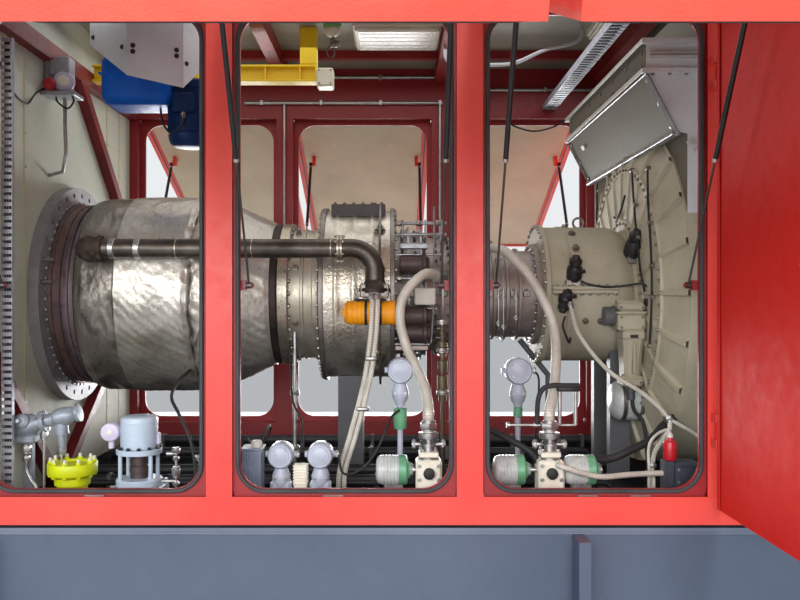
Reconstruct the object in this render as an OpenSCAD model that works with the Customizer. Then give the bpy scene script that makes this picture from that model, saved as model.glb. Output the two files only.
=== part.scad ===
// A gas turbine package: the engine and its auxiliaries on a steel base,
// inside a framed enclosure with raised access hatches on both sides.
// +X runs along the shaft from exhaust to intake, +Z is up, and the origin
// lies on the ground under the middle of the base.

/* [Enclosure] */
// Distance between the centre lines of neighbouring posts
bay_pitch = 1100; // [1080:10:1200]
// Outside width of the enclosure across the two long sides
enclosure_w = 2400; // [2340:10:2600]
// Width of each square post
post_w = 115; // [100:5:130]
// Height of the red sill beam
sill_h = 123; // [100:1:150]
// Height of the top of the door openings above the ground
opening_top = 2893; // [2850:1:2950]
// Height of the red header beam above the openings
header_h = 357; // [320:1:400]
// Thickness of the insulated roof
roof_t = 90; // [50:5:120]
// Thickness of the end walls and the fixed panel
wall_t = 40; // [25:5:60]
// Width of the lip and seal round each opening
lip_w = 32; // [20:1:40]
// Radius of the openings' corners
corner_r = 120; // [80:5:160]

/* [Base] */
// Height of the base beams from the ground
base_h = 605; // [500:5:700]
// Width of the base beams' flanges
flange_w = 280; // [200:10:320]
// Thickness of the base beams' flanges
flange_t = 24; // [15:1:40]
// Thickness of the base beams' webs
web_t = 20; // [10:1:30]
// Thickness of the deck plate
deck_t = 13; // [8:1:20]
// Width of each guide post on the base beams
rib_w = 50; // [30:1:60]
// Distance that the guide posts stand out from the base beams
rib_out = 140; // [80:5:160]

/* [Hatches] */
// Length of a hatch from its hinge line to its free edge
hatch_len = 2240; // [2230:5:2300]
// Thickness of a hatch
hatch_t = 50; // [40:1:50]
// Gap between neighbouring hatches
hatch_gap = 62; // [60:1:80]
// Distance of a hatch's left edge from its bay's left post line
hatch_edge = 12; // [8:1:14]
// Angle of a raised hatch from its closed place
hatch_open = 68.4; // [50:0.1:75]
// Height of the hatches' hinge line above the openings
hinge_rise = 77; // [72:1:100]
// Distance of the hinge line outside the enclosure's side
hinge_out = 35; // [35:1:45]
// Radius of the hinge pins
pin_r = 8; // [6:0.5:9]
// Running clearance at pins and rods
pin_gap = 0.4; // [0.3:0.1:0.6]
// Distance of the strut's upper pivot from the hinge line
strut_reach = 600; // [560:5:640]
// Drop of the strut's lower pivot below the hinge line
strut_drop = 1300; // [1290:5:1320]
// Length of the strut's tube
strut_tube = 600; // [560:5:610]
// Radius of the strut's tube
tube_r = 11; // [9:0.5:12]
// Radius of the strut's rod
rod_r = 5; // [4:0.5:6]
// Distance of each strut from the post's centre line
strut_in = 122; // [115:1:130]

/* [Side door] */
// Width of the side door from its hinge
door_w = 1165; // [1160:5:1180]
// Overlap of the side door on the sill beam
door_lap_sill = 35; // [20:1:50]
// Overlap of the side door on the header beam
door_lap_header = 32; // [20:1:40]

/* [Engine] */
// Outside radius of the exhaust flange ring
exhaust_ring_r = 610; // [590:5:630]
// Thickness of the exhaust flange ring
exhaust_ring_t = 60; // [40:5:70]
// Radius of the exhaust cone at the flange
exhaust_r = 505; // [480:5:520]
// Length of the bare part of the exhaust cone
cone_len = 150; // [120:5:180]
// Length of the straight part of the insulation blanket
blanket_len = 670; // [550:10:700]
// Radius of the insulation blanket
blanket_r = 545; // [540:5:570]
// Thickness of the insulation blanket
blanket_t = 45; // [30:1:60]
// Length of the blanket's taper towards the turbine
taper_len = 320; // [280:10:360]
// Radius of the turbine casing's flanges
turbine_flange_r = 405; // [395:5:430]
// Radius of the turbine casing
turbine_r = 370; // [350:5:385]
// Length of the turbine casing with its flanges
turbine_len = 270; // [250:10:300]
// Radius of the combustor casing
combustor_r = 480; // [440:5:500]
// Length of the combustor casing
combustor_len = 405; // [380:5:440]
// Radius of the compressor casing at its rear
compressor_r = 330; // [300:5:350]
// Radius of the compressor casing at its front
compressor_front_r = 250; // [220:5:270]
// Length of the compressor casing's rear part
compressor_len = 475; // [460:5:520]
// Length of the compressor casing's front part
compressor_front_len = 336; // [300:2:360]
// Radius of the air intake casing
intake_r = 385; // [370:5:400]
// Length of the air intake casing
intake_len = 502; // [480:2:520]
// Length of the intake casing's tapered end
intake_chamfer = 90; // [60:5:100]
// Radius of the intake plenum
plenum_r = 950; // [900:10:960]
// Clearance between the intake plenum and the deck
plenum_clear = 72; // [50:2:100]
// Radius of the flat middle of the plenum's front
plenum_flat_r = 720; // [650:10:760]
// Length of the intake plenum's cone
plenum_cone_len = 60; // [40:5:90]
// Gap between the plenum's back and the end wall
plenum_back = 400; // [350:10:450]
// Width of the intake duct across the package
duct_w = 1740; // [1600:10:1780]
// Distance of the intake duct's front shoulder below the ceiling
duct_drop = 400; // [350:10:450]
// Diameter of the hot air bleed pipe
bleed_pipe_d = 100; // [80:5:120]

/* [Auxiliaries] */
// Side of the square lifting beam
beam_w = 100; // [80:5:120]
// Distance of the lifting beam's centre below the ceiling
beam_drop = 284; // [250:2:300]
// Diameter of the lube oil pump's motor can
pump_d = 170; // [150:5:190]
// Diameter of the yellow drain flange
drain_d = 225; // [200:5:250]
// Diameter of the transmitter heads
transmitter_d = 120; // [100:5:130]
// Diameter of the filter cylinders
filter_d = 140; // [120:5:160]
// Diameter of the big braided hoses
hose_d = 50; // [40:2:60]
// Distance of the vent fan's underside below the ceiling
fan_drop = 605; // [560:5:640]
// Length of the vent fan's box along the shaft
fan_l = 380; // [340:4:420]
// Width of the vent fan's box across the package
fan_w = 300; // [260:10:340]
// Height of the vent fan's box
fan_h = 270; // [240:10:300]
// Diameter of the vent fan's motor
fan_motor_d = 240; // [200:10:250]
// Length of the folded vent hood along the shaft
hood_len = 660; // [600:10:700]
// Distance that the vent hood stands out in front of the fan
hood_out = 300; // [240:10:320]
// Distance of the vent hood's lowest corner below the ceiling
hood_drop = 577; // [520:1:620]
// Depth of the ceiling lamps
lamp_t = 70; // [50:5:90]
// Distance of the cable tray's underside below the ceiling
tray_drop = 300; // [250:10:350]
// Width of the cable tray
tray_w = 90; // [60:5:100]
// Depth of the cable tray
tray_h = 40; // [30:5:60]

/* [Hidden] */
$fn = 64;

red = [0.78, 0.16, 0.14];
base_grey = [0.42, 0.46, 0.52];
liner_beige = [0.66, 0.62, 0.5];
steel = [0.6, 0.6, 0.6];
cream = [0.75, 0.7, 0.58];
black = [0.08, 0.08, 0.08];

// Enclosure lines
side_y = enclosure_w / 2;
inner_y = side_y - post_w;
deck_z = base_h + deck_t;
sill_z = deck_z + sill_h;
end_x = 2 * bay_pitch;
frame_len = 2 * end_x + post_w;
opening_w = bay_pitch - post_w;
lip_t = 15;
lip_back = 20;
seat = 0.3;

// Height of the shaft, so that the plenum clears the deck
shaft_z = deck_z + plenum_r + plenum_clear;

// Heights under the ceiling
ceiling_z = opening_top + header_h;
hinge_z = opening_top + hinge_rise;
door_z0 = sill_z - door_lap_sill;
door_z1 = opening_top + door_lap_header;
duct_top = ceiling_z - duct_drop;
beam_z = ceiling_z - beam_drop;
fan_z = ceiling_z - fan_drop;
tray_z = ceiling_z - tray_drop;
roof_beam_w = 80;
fan_x = -1.545 * bay_pitch;
fan_y = -0.25 * side_y;

// Row of auxiliaries along the near side
aux_y = 0.79 * side_y;
valve_h = 370;
valve_x = [-0.155 * bay_pitch, 0.36 * bay_pitch];
bleed_rise = 230;
bleed_inset = 105;

// Hinge and strut lines
hinge_y = side_y + hinge_out;
leaf_start = 20;
leaf_in = 20;
leaf_out = hatch_t - leaf_in;
knuckle_r = 14;
knuckle_len = 80;
lug_w = 30;
hinge_at = 0.28;
lower_y = inner_y + 55;
lower_z = hinge_z - strut_drop;
bracket_in = 75;
stud_r = 6;
eye_r = 15;
eye_half = tube_r + 1.5;
upper_y = hinge_y + strut_reach * sin(hatch_open) - bracket_in * cos(hatch_open);
upper_z = hinge_z - strut_reach * cos(hatch_open) - bracket_in * sin(hatch_open);
strut_tilt = atan2(upper_y - lower_y, upper_z - lower_z);
strut_open_len = norm([upper_y - lower_y, upper_z - lower_z]);
rod_len = strut_open_len - strut_tube + 20;

// Side door lines
door_hinge_x = bay_pitch - 35;
door_hinge_y = side_y + 57;
door_t = 50;
door_skin = 8;
door_start = 25;

// Stations along the shaft, from the exhaust end to the intake end
x_ring = -end_x;
x_cone = x_ring + exhaust_ring_t;
x_blanket = x_cone + cone_len;
x_taper = x_blanket + blanket_len;
x_turbine = x_taper + taper_len;
x_combustor = x_turbine + turbine_len;
x_compressor = x_combustor + combustor_len;
x_front = x_compressor + compressor_len;
x_intake = x_front + compressor_front_len;
x_plate = x_intake + intake_len;
plate_t = 12;
x_plenum = x_plate + plate_t;
x_drum = x_plenum + plenum_cone_len;
x_back = end_x - plenum_back;
x_bleed = x_blanket + 60;

// A disc, ring or cone on the shaft line between two stations
module drum(x0, x1, r0, r1) {
  translate([x0, 0, shaft_z]) rotate([0, 90, 0])
    cylinder(h = x1 - x0, r1 = r0, r2 = r1, $fn = 160);
}

// Small cylinders on a circle round the shaft, such as bolt heads
module on_circle(x0, len, circle_r, r, count) {
  for (i = [0:count - 1]) {
    a = i * 360 / count;
    translate([x0, circle_r * sin(a), shaft_z + circle_r * cos(a)])
      rotate([0, 90, 0]) cylinder(h = len, r = r, $fn = 16);
  }
}

// A block given by its lowest corner and its size
module block(x, y, z, sx, sy, sz) {
  translate([x, y, z]) cube([sx, sy, sz]);
}

// A rectangle with round corners, about the origin
module round_rect(w, h, r) {
  square([w - 2 * r, h], center = true);
  square([w, h - 2 * r], center = true);
  for (sx = [-1, 1]) {
    for (sy = [-1, 1]) {
      translate([sx * (w / 2 - r), sy * (h / 2 - r)]) circle(r = r);
    }
  }
}

// One cylinder lying along X, along Y or standing up
module bar_x(x, y, z, len, r) {
  translate([x, y, z]) rotate([0, 90, 0]) cylinder(h = len, r = r);
}

module bar_y(x, y, z, len, r) {
  translate([x, y, z]) rotate([-90, 0, 0]) cylinder(h = len, r = r);
}

module bar_z(x, y, z, len, r) {
  translate([x, y, z]) cylinder(h = len, r = r);
}

// The same shape on the other long side
module far_side() {
  mirror([0, 1, 0]) children();
}

// Base and deck

// Web of one base beam, flush with the enclosure's side, and the guide
// posts that stand out from it
module base_web() {
  block(-frame_len / 2, -side_y, flange_t, frame_len, web_t, base_h - 2 * flange_t);
  for (x = [-end_x + 80, 0.43 * bay_pitch]) {
    block(x - rib_w / 2, -side_y - rib_out, 0, rib_w, rib_out, base_h - 25);
  }
}

// Webs and the cross members that are coped to fit between the flanges
module base_frame() {
  beam_t = 2 * web_t;
  in_y = side_y - web_t - seat;
  mid_y = side_y - flange_w - seat;
  color(base_grey) {
    base_web();
    far_side() base_web();
    for (i = [-2:2]) {
      x = i * (frame_len - beam_t) / 4;
      block(x - beam_t / 2, -in_y, flange_t, beam_t, 2 * in_y, base_h - 2 * flange_t);
      block(x - beam_t / 2, -mid_y, 0, beam_t, 2 * mid_y, flange_t);
    }
  }
}

// Bottom and top flanges of the two base beams
module base_flanges() {
  color(base_grey) {
    for (z = [0, base_h - flange_t]) {
      block(-frame_len / 2, -side_y, z, frame_len, flange_w, flange_t);
      block(-frame_len / 2, side_y - flange_w, z, frame_len, flange_w, flange_t);
    }
  }
}

module deck_plate() {
  color([0.2, 0.2, 0.22]) block(-frame_len / 2, -side_y, base_h, frame_len, enclosure_w, deck_t);
}

// Enclosure frame

module post_row() {
  for (i = [-2:2]) {
    block(i * bay_pitch - post_w / 2, -side_y, sill_z, post_w, post_w, opening_top - sill_z);
  }
}

// Bracket and stud that hold a strut's lower end behind the opening's lip
module strut_foot(x, way) {
  from = post_w / 2;
  to = strut_in - eye_half - pin_gap;
  translate([x, -lower_y, lower_z]) {
    translate([way > 0 ? from : -to, -18, -22]) cube([to - from, 36, 44]);
    rotate([0, way * 90, 0]) cylinder(h = strut_in + eye_half + 8, r = stud_r);
    translate([way * (strut_in + eye_half + pin_gap), 0, 0])
      rotate([0, way * 90, 0]) cylinder(h = 5, r = stud_r + 3);
  }
}

// Edges of a bay that carry a gas strut: the first near hatch has only its left one
function strut_sides(i, near) = near && i == 1 ? [-1] : [-1, 1];

module side_posts(near) {
  post_row();
  for (i = [1:3]) {
    for (s = strut_sides(i, near)) {
      strut_foot((i - 2.5 + s / 2) * bay_pitch, -s);
    }
  }
}

module near_posts() {
  color(red) {
    side_posts(true);
    for (z = [door_z0 + 0.15 * (door_z1 - door_z0), door_z0 + 0.85 * (door_z1 - door_z0)]) {
      for (s = [-1, 1]) {
        door_lug(z + s * (knuckle_len / 2 + 1) - (s < 0 ? lug_w : 0));
      }
      bar_z(door_hinge_x, -door_hinge_y, z - knuckle_len / 2 - 1, knuckle_len + 2, pin_r);
    }
  }
}

// Lug that carries the side door's hinge pin
module door_lug(z) {
  block(door_hinge_x - 12, -door_hinge_y, z, 24, door_hinge_y - side_y, lug_w);
  bar_z(door_hinge_x, -door_hinge_y, z, lug_w, 12);
}

module far_posts() {
  color(red) far_side() side_posts(false);
}

module sills() {
  color(red) {
    block(-frame_len / 2, -side_y, deck_z, frame_len, post_w, sill_h);
    block(-frame_len / 2, inner_y, deck_z, frame_len, post_w, sill_h);
  }
}

// Two lugs and the pin of one hatch hinge
module hatch_hinge_seat(x) {
  for (s = [-1, 1]) {
    lug_x = x + s * (knuckle_len / 2 + 1) - (s < 0 ? lug_w : 0);
    block(lug_x, -hinge_y, hinge_z - 12, lug_w, hinge_out, 24);
    bar_x(lug_x, -hinge_y, hinge_z, lug_w, 12);
  }
  bar_x(x - knuckle_len / 2 - 1, -hinge_y, hinge_z, knuckle_len + 2, pin_r);
}

module side_header() {
  block(-frame_len / 2, -side_y, opening_top, frame_len, post_w, ceiling_z - opening_top);
  for (i = [0:2]) {
    for (s = [-1, 1]) {
      hatch_hinge_seat((i - 1.5) * bay_pitch + s * hinge_at * bay_pitch);
    }
  }
}

module headers() {
  color(red) {
    side_header();
    far_side() side_header();
  }
}

// Lip that the hatch's seal closes on, just behind the opening's face
module opening_lip() {
  h = opening_top - sill_z;
  rotate([90, 0, 0]) linear_extrude(lip_t) difference() {
    square([opening_w, h], center = true);
    round_rect(opening_w - 2 * lip_w, h - 2 * lip_w, corner_r);
  }
}

module opening_lips() {
  mid_z = (opening_top + sill_z) / 2;
  color(black) {
    for (i = [-1.5:1.5]) {
      translate([i * bay_pitch, -side_y + lip_back + lip_t, mid_z]) opening_lip();
    }
    for (i = [-1.5:0.5]) {
      translate([i * bay_pitch, side_y - lip_back, mid_z]) opening_lip();
    }
  }
}

module roof_panel() {
  color(red) block(-frame_len / 2, -side_y, ceiling_z, frame_len, enclosure_w, roof_t);
}

module roof_beams() {
  beam_h = 110;
  color(red) {
    for (i = [-1:1]) {
      block(i * bay_pitch - roof_beam_w / 2, -inner_y, ceiling_z - beam_h, roof_beam_w, 2 * inner_y, beam_h);
    }
    for (y = [-0.35 * side_y, 0.55 * side_y]) {
      for (i = [-2:0]) {
        from = i * bay_pitch + (i == -2 ? 0 : roof_beam_w / 2);
        to = (i + 1) * bay_pitch - roof_beam_w / 2;
        block(from, y - 25, ceiling_z - 60, to - from, 50, 60);
      }
    }
  }
}

// End walls

module exhaust_end_wall() {
  color(liner_beige) difference() {
    block(-end_x - wall_t, -inner_y, deck_z, wall_t, 2 * inner_y, ceiling_z - deck_z);
    drum(-end_x - wall_t - 1, -end_x + 1, exhaust_r, exhaust_r);
  }
}

// Beam along the top of the end wall, with three slanting bars that pass the flange
// at the distances r, leaning by a. Their ends are cut flush with what they meet.
module end_wall_braces() {
  depth = 60;
  width = 60;
  beam_bottom = ceiling_z - 370;
  knee_r = 1.5 * exhaust_ring_r;
  low_r = exhaust_ring_r + 45;
  color([0.45, 0.06, 0.08]) {
    block(-end_x, -inner_y, beam_bottom, depth, 2 * inner_y, 90);
    wall_bar(depth, [
      [bar_y(knee_r, 42, beam_bottom), beam_bottom], [bar_y(knee_r + width, 42, beam_bottom), beam_bottom],
      [inner_y, bar_z_at(knee_r + width, 42, inner_y)], [inner_y, bar_z_at(knee_r, 42, inner_y)]
    ]);
    wall_bar(depth, [
      [bar_y(knee_r, 225, deck_z), deck_z], [bar_y(knee_r + width, 225, deck_z), deck_z],
      [-inner_y, bar_z_at(knee_r + width, 225, -inner_y)], [-inner_y, bar_z_at(knee_r, 225, -inner_y)]
    ]);
    wall_bar(depth, [
      [bar_y(low_r, 144, deck_z), deck_z], [bar_y(low_r + width, 144, deck_z), deck_z],
      [inner_y, bar_z_at(low_r + width, 144, inner_y)], [inner_y, bar_z_at(low_r, 144, inner_y)]
    ]);
  }
}

// Where a line at distance r from the shaft, its normal leaning by a, meets a height or a side
function bar_y(r, a, z) = (r - cos(a) * (z - shaft_z)) / sin(a);
function bar_z_at(r, a, y) = shaft_z + (r - sin(a) * y) / cos(a);

module wall_bar(depth, outline) {
  translate([-end_x, 0, 0]) rotate([90, 0, 90]) linear_extrude(depth) polygon(outline);
}

module intake_end_wall() {
  color(liner_beige) block(end_x, -inner_y, deck_z, wall_t, 2 * inner_y, ceiling_z - deck_z);
}

module far_end_panel() {
  h = opening_top - sill_z;
  color(red) block(1.5 * bay_pitch - opening_w / 2, side_y - wall_t - lip_back, sill_z, opening_w, wall_t, h);
}

// Exhaust end of the engine

module exhaust_outlet() {
  stub = 160;
  x0 = -end_x - wall_t - stub;
  color(steel) difference() {
    union() {
      drum(x0, -end_x - wall_t, exhaust_r + 12, exhaust_r + 12);
      drum(x0, x0 + 25, exhaust_ring_r, exhaust_ring_r);
    }
    drum(x0 - 1, -end_x, exhaust_r, exhaust_r);
    on_circle(x0 - 1, 27, (exhaust_ring_r + exhaust_r + 12) / 2, 13, 24);
  }
}

module exhaust_flange() {
  color([0.5, 0.5, 0.5]) difference() {
    drum(x_ring, x_cone, exhaust_ring_r, exhaust_ring_r);
    drum(x_ring - 1, x_cone + 1, exhaust_r, exhaust_r);
    on_circle(x_ring - 1, exhaust_ring_t + 2, (exhaust_ring_r + exhaust_r) / 2 + 10, 14, 30);
  }
}

module exhaust_diffuser() {
  core_r = turbine_flange_r - blanket_t;
  color([0.35, 0.28, 0.27]) difference() {
    union() {
      drum(x_ring, x_cone, exhaust_r - seat, exhaust_r - seat);
      drum(x_cone, x_blanket, exhaust_r, blanket_r - blanket_t);
      drum(x_blanket, x_taper, blanket_r - blanket_t, blanket_r - blanket_t);
      drum(x_taper, x_turbine, blanket_r - blanket_t, core_r);
    }
    drum(x_ring - 1, x_cone, exhaust_r - 20, exhaust_r - 20);
  }
}

// Quilted wrap round the diffuser, with a hole for the bleed pipe
module insulation_blanket() {
  in0 = blanket_r - blanket_t + seat;
  in1 = turbine_flange_r - blanket_t + seat;
  color([0.72, 0.7, 0.64]) difference() {
    translate([0, 0, shaft_z]) rotate([0, 90, 0]) rotate_extrude() polygon([
      [in0, x_blanket], [blanket_r - 10, x_blanket], [blanket_r, x_blanket + 40],
      [blanket_r, x_taper], [turbine_flange_r, x_turbine], [in1, x_turbine], [in0, x_taper]
    ]);
    bar_y(x_bleed, -blanket_r - 50, shaft_z + bleed_rise, blanket_r, bleed_pipe_d / 2 + seat);
  }
}

module turbine_casing() {
  flange_t = 50;
  color([0.62, 0.58, 0.5]) {
    drum(x_turbine, x_turbine + 2 * flange_t, turbine_flange_r, turbine_flange_r);
    drum(x_turbine + 2 * flange_t, x_combustor, turbine_r, turbine_r);
    on_circle(x_turbine + 2 * flange_t, 18, turbine_flange_r - 18, 9, 24);
  }
}

// Combustor section

module combustor_casing() {
  rim = 25;
  color([0.66, 0.64, 0.6]) {
    drum(x_combustor, x_combustor + rim, combustor_r + 15, combustor_r + 15);
    drum(x_combustor + rim, x_compressor - rim, combustor_r, combustor_r);
    drum(x_compressor - rim, x_compressor, combustor_r + 15, combustor_r + 15);
  }
}

module combustor_cover() {
  l = 300;
  w = 420;
  x0 = (x_combustor + x_compressor) / 2 - l / 2;
  top = 18;
  color([0.5, 0.52, 0.53]) difference() {
    union() {
      block(x0, -w / 2, shaft_z + combustor_r - 80, l, w, 80 + top);
      for (sx = [0.2, 0.8]) {
        bar_z(x0 + sx * l, 0, shaft_z + combustor_r + top, 30, 9);
      }
    }
    drum(x_combustor, x_compressor, combustor_r + seat, combustor_r + seat);
  }
}

module bleed_pipe() {
  r = bleed_pipe_d / 2;
  y = -combustor_r - r - 20;
  z = shaft_z + bleed_rise;
  bend = 1.2 * bleed_pipe_d;
  x1 = x_compressor - bleed_inset - bend;
  color([0.62, 0.58, 0.52]) difference() {
    union() {
      bar_x(x_bleed, y, z, x1 - x_bleed, r);
      translate([x_bleed, y, z]) sphere(r = r);
      bar_y(x_bleed, y, z, -y - exhaust_r + 80, r);
      bar_x(x1 - 75, y, z, 30, r + 20);
      translate([x1, y, z - bend]) rotate([90, 0, 0]) rotate_extrude(angle = 90)
        translate([bend, 0]) circle(r = r);
      bar_z(x1 + bend, y, z - bend - 40, 40, r);
      translate([x1 + bend, y, z - bend - 80]) cylinder(h = 40, r1 = r + 25, r2 = r);
      bar_z(x1 + bend, y, z - bend - 110, 30, r + 25);
      bar_y(x1 + bend, y, z - bend - 95, 120, 32);
    }
    drum(x_blanket - 1, x_taper, blanket_r - blanket_t + seat, blanket_r - blanket_t + seat);
    drum(x_combustor, x_compressor, combustor_r + seat, combustor_r + seat);
  }
}

module starter_cap() {
  z = shaft_z - 100;
  y = -combustor_r - 70;
  color([0.92, 0.58, 0.05]) difference() {
    union() {
      bar_x(x_compressor - 250, y, z, 250, 62);
      bar_x(x_compressor - 262, y, z, 12, 48);
      bar_y(x_compressor - 120, y, z, 160, 40);
    }
    drum(x_combustor, x_compressor, combustor_r + seat, combustor_r + seat);
  }
}

// Compressor

// Compressor casing, grown by a clearance for what is seated on it
module compressor_shape(grow) {
  third = compressor_len / 3;
  drum(x_compressor, x_compressor + third, compressor_r + 20 + grow, compressor_r + grow);
  drum(x_compressor + third, x_compressor + third + 20, compressor_r + 25 + grow, compressor_r + 25 + grow);
  drum(x_compressor + third + 20, x_front - 25, compressor_r + grow, compressor_front_r + 20 + grow);
  drum(x_front - 25, x_front, compressor_front_r + 35 + grow, compressor_front_r + 35 + grow);
  drum(x_front, x_intake - 30, compressor_front_r + grow, compressor_front_r + grow);
  drum(x_intake - 30, x_intake, compressor_front_r + 40 + grow, compressor_front_r + 40 + grow);
  for (i = [1:3]) {
    drum(x_front + i * 70, x_front + i * 70 + 18, compressor_front_r + 14 + grow, compressor_front_r + 14 + grow);
  }
}

module compressor_casing() {
  color([0.5, 0.48, 0.47]) compressor_shape(0);
}

// Rails and rods that turn the stator vanes, and the actuator that moves them
module vane_linkage() {
  rail_y = -compressor_r - 90;
  x0 = x_compressor + 20;
  color([0.6, 0.62, 0.64]) difference() {
    union() {
      for (z = [shaft_z + 300, shaft_z + 235]) {
        block(x0, rail_y, z, 270, 14, 22);
      }
      for (x = [x0 + 10, x0 + 130, x0 + 240]) {
        block(x, rail_y + 14, shaft_z + 230, 14, 16, 96);
        block(x, rail_y + 14, shaft_z + 240, 14, 300, 14);
      }
      block(x0 + 10, rail_y - 60, shaft_z - 20, 120, 90, 95);
      block(x0 + 50, rail_y + 30, shaft_z, 40, 120, 40);
    }
    compressor_shape(seat);
  }
}

module intake_casing() {
  color(cream) {
    drum(x_intake, x_intake + 25, intake_r + 15, intake_r + 15);
    drum(x_intake + 25, x_plate - intake_chamfer, intake_r, intake_r);
    drum(x_plate - intake_chamfer, x_plate, intake_r, intake_r - intake_chamfer * 0.6);
    for (s = [-1, 1]) {
      block(x_intake + 25, s > 0 ? intake_r - 15 : -intake_r - 35, shaft_z + 15,
        intake_len - intake_chamfer - 60, 50, 40);
    }
  }
}

module accessory_drive() {
  x = x_plenum - 160;
  y = -intake_r - 10;
  color(cream) difference() {
    union() {
      block(x, y - 110, shaft_z - 200, 150, 180, 160);
      block(x + 40, y - 60, shaft_z - 490, 100, 110, 290);
      bar_x(x - 60, y - 20, shaft_z - 120, 60, 60);
    }
    drum(x_intake, x_plenum, intake_r + seat, intake_r + seat);
    drum(x_plate - seat, x_plenum + 1, plenum_flat_r + 6 + seat, plenum_flat_r + 6 + seat);
  }
}

// Intake plenum's cone and drum, grown by a clearance for what is seated on it
module plenum_shape(grow) {
  drum(x_plenum, x_drum, plenum_flat_r + grow, plenum_r + grow);
  drum(x_drum, x_back, plenum_r + grow, plenum_r + grow);
}

module intake_plenum() {
  rib_t = 10;
  seam_r = plenum_flat_r;
  color(cream) {
    plenum_shape(0);
    drum(x_plate, x_plenum, seam_r + 6, seam_r + 6);
    drum(x_back, end_x, intake_r, intake_r);
    for (a = [-165:15:180]) {
      translate([x_plenum, 0, shaft_z]) rotate([a, 0, 0]) rotate([90, 0, 0])
        linear_extrude(rib_t, center = true)
          polygon([
            [-plate_t, seam_r + 4], [plenum_cone_len, plenum_r - 4],
            [plenum_cone_len + 20, plenum_r - 4], [20, seam_r - 20], [-plate_t, seam_r - 20]
          ]);
    }
  }
}

// Duct that brings air from the roof down into the plenum
module intake_duct() {
  front = x_plenum - 127;
  lip = 16;
  riser = bay_pitch + roof_beam_w / 2 + 30;
  outline = [
    [x_plenum + lip, duct_top - 440], [front, duct_top - 166], [front, duct_top], [riser, duct_top],
    [riser, ceiling_z], [x_back, ceiling_z], [x_back, shaft_z + 360], [x_drum + 10, shaft_z + 360],
    [x_drum + 10, duct_top - 450]
  ];
  color([0.45, 0.47, 0.48]) difference() {
    union() {
      rotate([90, 0, 0]) linear_extrude(duct_w, center = true) polygon(outline);
      for (z = [duct_top - 166, duct_top - 24]) {
        block(front - 25, -duct_w / 2 - 25, z, x_back - front + 25, duct_w + 50, 24);
      }
    }
    plenum_shape(seat);
    drum(x_plate - seat, x_drum, plenum_flat_r + 6, plenum_r + seat);
  }
}

// Pedestal under the combustor and two legs under the intake casing
module engine_supports() {
  leg_w = 70;
  leg_l = 110;
  leg_in = 150;
  pedestal_l = 140;
  pedestal_w = 260;
  reach_in = 90;
  front_x = x_plate - intake_chamfer - 30;
  color([0.35, 0.36, 0.38]) difference() {
    union() {
      block(x_combustor + 85, -pedestal_w / 2, deck_z, pedestal_l, pedestal_w,
        shaft_z - combustor_r + reach_in - deck_z);
      for (y = [-leg_in - leg_w, leg_in]) {
        block(front_x, y, deck_z, leg_l, leg_w, shaft_z - intake_r + reach_in - deck_z);
      }
    }
    drum(x_combustor, x_compressor, combustor_r + seat, combustor_r + seat);
    drum(x_intake, x_plate + 1, intake_r + seat, intake_r + seat);
  }
}

// Roof space

module lifting_beam() {
  y = 0.17 * side_y;
  x1 = -0.72 * bay_pitch;
  color([0.85, 0.72, 0.12]) {
    block(-end_x + 60, y - beam_w / 2, beam_z - beam_w / 2, end_x - 60 + x1, beam_w, beam_w);
    block(x1 - beam_w, y - beam_w / 2, beam_z + beam_w / 2, beam_w, beam_w, ceiling_z - beam_z - beam_w / 2);
  }
  color(cream) block(x1 + seat, y - 60, beam_z - 80, 100, 120, 110);
}

module vent_fan() {
  hanger_r = 60;
  motor_len = 360;
  motor_x = fan_x + fan_l / 2 + 0.3 * fan_motor_d;
  top = fan_z + fan_h;
  color([0.04, 0.16, 0.45]) {
    block(fan_x - fan_l / 2, fan_y - fan_w / 2, fan_z, fan_l, fan_w, fan_h);
    bar_z(motor_x, fan_y, fan_z - 0.59 * motor_len, motor_len, fan_motor_d / 2);
    bar_z(fan_x, fan_y, top, ceiling_z - top, hanger_r);
  }
}

// Folded sheet hood in front of the fan, open seams closed, hung from the ceiling.
// Each corner is given with how far it hangs down.
module vent_duct() {
  back = fan_y - fan_w / 2 - seat;
  x0 = fan_x + 96 - hood_len / 2;
  plan = [
    [x0, back], [x0 + 0.44 * hood_len, back - hood_out],
    [x0 + 0.82 * hood_len, back - 0.67 * hood_out], [x0 + hood_len, back]
  ];
  drop = [0.52, 0.935, 1, 0.63] * hood_drop;
  color([0.7, 0.72, 0.73]) polyhedron(
    points = concat(
      [for (k = [0:3]) [plan[k][0], plan[k][1], ceiling_z - drop[k]]],
      [for (p = plan) [p[0], p[1], ceiling_z]]
    ),
    faces = [
      [0, 3, 1], [1, 3, 2], [4, 5, 6, 7],
      [0, 1, 5, 4], [1, 2, 6, 5], [2, 3, 7, 6], [3, 0, 4, 7]
    ]
  );
}

module roof_lamps() {
  color([0.85, 0.83, 0.72]) {
    block(-0.52 * bay_pitch, 0.02 * side_y, ceiling_z - lamp_t, 0.48 * bay_pitch, 0.36 * side_y, lamp_t);
    block(0.95 * bay_pitch - 200, -0.1 * side_y, ceiling_z - lamp_t, 160, 0.3 * side_y, lamp_t);
  }
}

module cable_trays() {
  color([0.6, 0.6, 0.58]) {
    block(0.66 * bay_pitch, -inner_y, tray_z, tray_w, 2 * inner_y, tray_h);
    block(-end_x + 80, -inner_y + 25, deck_z, 50, 25, 0.93 * (tray_z - deck_z));
  }
}

// Auxiliaries along the near side

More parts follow.
